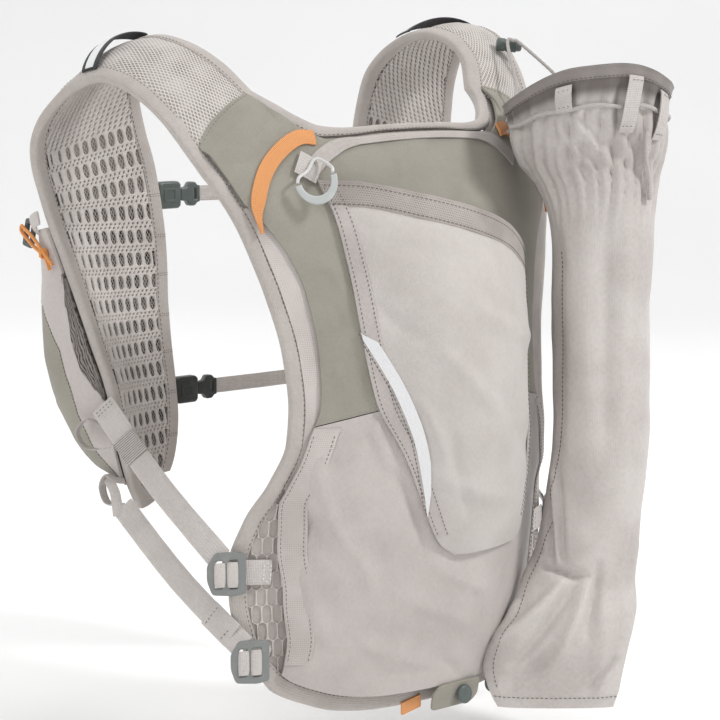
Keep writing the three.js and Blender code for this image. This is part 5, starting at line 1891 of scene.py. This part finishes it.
def flask_closure():
    closure = strap_point(np.array([10.9]), np.array([1.0]), 0)[0]
    clip = closure + np.array([-6, -27, -8.0])
    keys = [
        closure + np.array([3.6, -3, 3.6]),
        closure + np.array([3.2, -7.4, 2.4]),
        closure + np.array([1.2, -13, 0]),
        clip + np.array([1.2, 9.4, 1.2]),
    ]
    strap_shape = tape(catmull(keys, 24), 9, (1, 0.1, 0), 1.3, 0.15)
    frame_ring = rounded(box(-4.5, -9, 4.5, 9), 1.8)
    opening = rounded(box(-1.8, -6, 1.8, 6), 0.8)

    def pull(back, down, out):
        return clip + np.array([out, back, -down])

    points = [
        (31, 17.5, 5), (25.5, 12.5, 5.8), (21, 8.8, 5.8), (10, 2, 4.4), (0, -2.5, 3.4), (-4, -4.6, 3.4),
        (-3.5, -0.5, 3.4), (9, 7, 4), (20.5, 13, 3.4), (26, 21, 3.6),
    ]
    path = catmull([pull(*k) for k in points], 110)
    rope = tube(path, 1.2, 8, lumps=0.1)
    knot = Shape()
    centre = pull(21, 11, 4.6)
    for turn in range(2):
        angle = np.linspace(0, 2 * math.pi, 26)
        wide = np.stack([1.9 * np.cos(angle), (1.1 + turn) * np.sin(angle), 2.3 * np.sin(angle + turn)], -1)
        part = tube(centre + wide, 1.25, 8, (0.4, 0.8, 0.3), 0.1)
        knot.take(part)
    for name, side in HALVES:
        mirror = np.array([side, 1.0, 1.0])
        half_strap = turned(strap_shape, side < 0)
        half_strap.piece("closure_tape_" + name, WEBBING, "webbing", ["flask_strap_" + name])
        plate(
            "closure_clip_" + name, frame_ring, [opening], 3,
            clip * mirror, np.array([0.1, -1, 0.25]) * mirror, (0, 0.25, 1),
            SLATE_PLASTIC, ["flask_clip_" + name], 0.7,
        )
        knot_piece = turned(knot, side < 0).piece("pull_knot_" + name, ORANGE_CORD, "orange_cord", smooth=70)
        declared_cord(
            turned(rope, side < 0), path * mirror, "pull_cord_" + name, ORANGE_CORD, "orange_cord",
            ["flask_pull_cord_" + name],
        )


flask_closure()

# Sternum straps: side-release buckles with webbing

SOCKET = [(-9, -7.5), (-6.5, -8.8), (7, -8.8), (9, -7), (9, 7), (7, 8.8), (-6.5, 8.8), (-9, 7.5)]
PLUG = [(-8, -4), (-2.5, -4.6), (-0.5, -7.8), (4, -7.8), (6, -5.5), (8, -5.5)]
PLUG += [(8, 5.5), (6, 5.5), (4, 7.8), (-0.5, 7.8), (-2.5, 4.6), (-8, 4)]


def sternum():
    for level, t, y, material, slot in (
        ("upper", 10.55, -47, SLATE_PLASTIC, "slate_plastic"),
        ("lower", 15.15, -41, DARK_PLASTIC, "dark_plastic"),
    ):
        edge = strap_point(np.array([t]), np.array([0.0]), 0)[0]
        z = edge[2]
        socket_x = edge[0] - 10.6
        plug_x = socket_x - 9 - GAP - 8
        plate(
            "buckle_socket_" + level, rounded(SOCKET, 2.2), [], 7, (socket_x, y, z), (-1, 0, 0), (0, 0, 1),
            material, ["sternum_%s_socket" % level], 1.4,
        )
        for face, name in ((1, "back"), (-1, "front")):
            plate(
                "buckle_panel_%s_%s" % (level, name), rounded(box(-5.4, -4.6, 5.2, 4.6), 1.6),
                [rounded(box(-3.6, -2.9, 3.4, 2.9), 1.0)], 0.7,
                (socket_x, y + face * 3.55, z), (-1, 0, 0), (0, 0, 1), material, [], 0.3,
            )
        plate(
            "buckle_plug_" + level, rounded(PLUG, 1.0, 3), [rounded(box(3.2, -3.6, 5.2, 3.6), 0.6, 3)], 5,
            (plug_x, y, z), (-1, 0, 0), (0, 0, 1), material, ["sternum_%s_plug" % level], 0.9,
        )
        keys = [(plug_x - 8.4, y, z), (0, y - 4, z - 1), (-30, y - 4, z - 1), (-edge[0] + 0.6, y, z)]
        shape = tape(catmull(keys, 90), STERNUM_WIDTH, (0, -1, 0), 1.3, 0.2, 9, 0.1)
        shape.piece("sternum_tape_" + level, WEBBING, "webbing", ["sternum_%s_webbing" % level])


sternum()

# Reflective loops over the shoulders: dark edges with a white middle


def shoulder_loops():
    for right, name in ((0, "left"), (1, "right")):
        f = np.linspace(0, 1, 60)[:, None]
        v = mix(0.9, 0.03, f)
        lift = 1 + 4.5 * np.sin(np.pi * f) ** 0.7
        t = mix(4.7, 3.75, v)
        s = np.linspace(0, 1, 17)[None]
        p, n = on_strap(t + 0.7 * s, v + 0 * s, lift + 0 * s, right)
        rounding = 0.15 * (np.abs(s - 0.5) > 0.46)
        shape = wall(p, n, 0.85 - rounding, 0.0)
        turned(shape, right).piece("loop_tape_" + name, LOOP_EDGE, "loop_tape", ["reflective_loop_" + name])
        middle = slice(4, 13)
        film = wall(p[1:-1, middle], n[1:-1, middle], 1.15, 0.5)
        turned(film, right).piece("loop_film_" + name, FOIL, "loop_tape")


shoulder_loops()

# Cord lock on the right shoulder


def cord_lock():
    p, n = on_strap([1.5], [0.64], 8.0, 1)
    centre, normal = flipped(p[0]), flipped(n[0])
    axis = unit([-0.75, 0.6, -0.1])
    stations = [(-8.5, 3.2), (-8.2, 3.9), (-7.2, 4.35), (-3.2, 4.4), (-2.9, 3.9), (-2.2, 3.9), (-1.9, 4.4)]
    stations += [(4.6, 4.4), (5.0, 3.6), (6.4, 3.5), (7.6, 3.3), (8.3, 2.6)]
    body = lathe(centre, axis, unit(np.cross(axis, normal)), stations, 28)
    body.piece("cord_lock", SLATE_PLASTIC, "slate_plastic", ["shoulder_cord_lock"], smooth=40)
    below = centre + normal * 0.5
    keys = [
        (-88, 103, -50), (-112, 88, -30), below + np.array([8, 6, 1]), below + np.array([3, 6.5, 3]),
        below + np.array([-1, 9, 1]), (-150, 86, -20), (-141, 104, -29),
    ]
    path = catmull(np.array([np.asarray(k, float) for k in keys]), 120)
    rope = tube(path, 1.1, 8, lumps=0.08)
    declared_cord(rope, path, "shoulder_drawcord", CORD, "cord", ["shoulder_cord"])


cord_lock()

# Hem details


SNAP_STATIONS = [(-1.5, 5.4), (-1.4, 6.0), (-0.6, 6.0), (0.3, 5.9), (0.9, 5.3)]
SNAP_STATIONS += [(1.2, 4.2), (1.0, 3.4), (1.2, 2.4), (1.5, 1.2)]


def snap(name, centre, node):
    """A press stud: a domed cap with a rolled edge."""
    cap = lathe(np.array(centre), unit([0, 1, 0.12]), np.array([1.0, 0, 0]), SNAP_STATIONS, 32)
    cap.piece(name, SLATE_PLASTIC, "slate_plastic", [node], smooth=50)


snap("press_stud_1", (-15, 142.6, -405.8), "snap_button_1")
snap("press_stud_2", (-57, 125.2, -409.5), "snap_button_2")
plate(
    "hem_tab", rounded(box(-8, -4.5, 8, 4.5), 0.8), [], 1.4,
    on_face(liner_y, np.array(18.0), np.array(-409.5), 1.1)[0], (-1, 0.05, 0.2), (0, 0.2, 1),
    ORANGE_TAPE, ["orange_hem_tab"], 0.3, -0.8,
)
plate(
    "stud_flap", rounded([(-20, -8), (14, -8), (20, -3), (20, 8), (-14, 8), (-20, 3)], 3), [], 1.6,
    (-10, 138.5, -405.3), (-1, 0, 0), (0, 0.15, 1), OLIVE_CLOTH, ["snap_flap"], 0.4,
)

# Floor and light

WORLD_STRENGTH = 0.58

FLOOR_LEVEL = -0.4395
FLOOR_BACK = 2.2
SWEEP_RADIUS = 1.2
SWEEP_STEPS = 12


def stage():
    """A pale floor that sweeps up to a wall behind the vest, in metres from the camera's side."""
    profile = [(-6.0, FLOOR_LEVEL), (FLOOR_BACK, FLOOR_LEVEL)]
    for k in range(1, SWEEP_STEPS + 1):
        angle = math.radians(90 * k / SWEEP_STEPS)
        rise = SWEEP_RADIUS * (1 - math.cos(angle))
        profile.append((FLOOR_BACK + SWEEP_RADIUS * math.sin(angle), FLOOR_LEVEL + rise))
    profile.append((FLOOR_BACK + SWEEP_RADIUS, 5.0))
    a = math.radians(AZIMUTH)
    toward = Vector((math.sin(a), -math.cos(a), 0))
    across = Vector((math.cos(a), math.sin(a), 0))
    verts, faces = [], []
    for distance, height in profile:
        for side in (-6, 6):
            point = -toward * distance + across * side
            verts.append((point.x / MM, point.y / MM, height / MM))
    for k in range(len(profile) - 1):
        faces.append((2 * k, 2 * k + 1, 2 * k + 3, 2 * k + 2))
    sweep = to_object("floor", verts, faces)
    f = Finish("pale_floor", 0.9)
    tone = f.between(f.noise(3, 2), 0.2, 0.8)
    sweep.data.materials.append(f.finish(f.blend(tone, (250, 250, 250), (253, 253, 253))))


def area_light(name, place, size, power, aim=(0, 0.06, -0.2)):
    data = bpy.data.lights.new(name, "AREA")
    data.shape = "DISK"
    data.size = size
    data.energy = power
    lamp = bpy.data.objects.new(name, data)
    scene.collection.objects.link(lamp)
    lamp.location = place
    lamp.rotation_mode = "QUATERNION"
    lamp.rotation_quaternion = (Vector(place) - Vector(aim)).to_track_quat("Z", "Y")


stage()
area_light("key", (-1.1, 1.9, 1.7), 0.5, 42)
area_light("left", (2.1, 0.5, 0.9), 1.6, 14)
area_light("front", (0.4, -2.2, 1.0), 1.8, 14)
area_light("top", (-0.3, 0.3, 2.4), 1.4, 16)
world = bpy.data.worlds.new("studio")
world.use_nodes = True
background = world.node_tree.nodes["Background"]
background.inputs["Color"].default_value = (1, 1, 1, 1)
background.inputs["Strength"].default_value = WORLD_STRENGTH
scene.world = world
scene.view_settings.view_transform = "Standard"
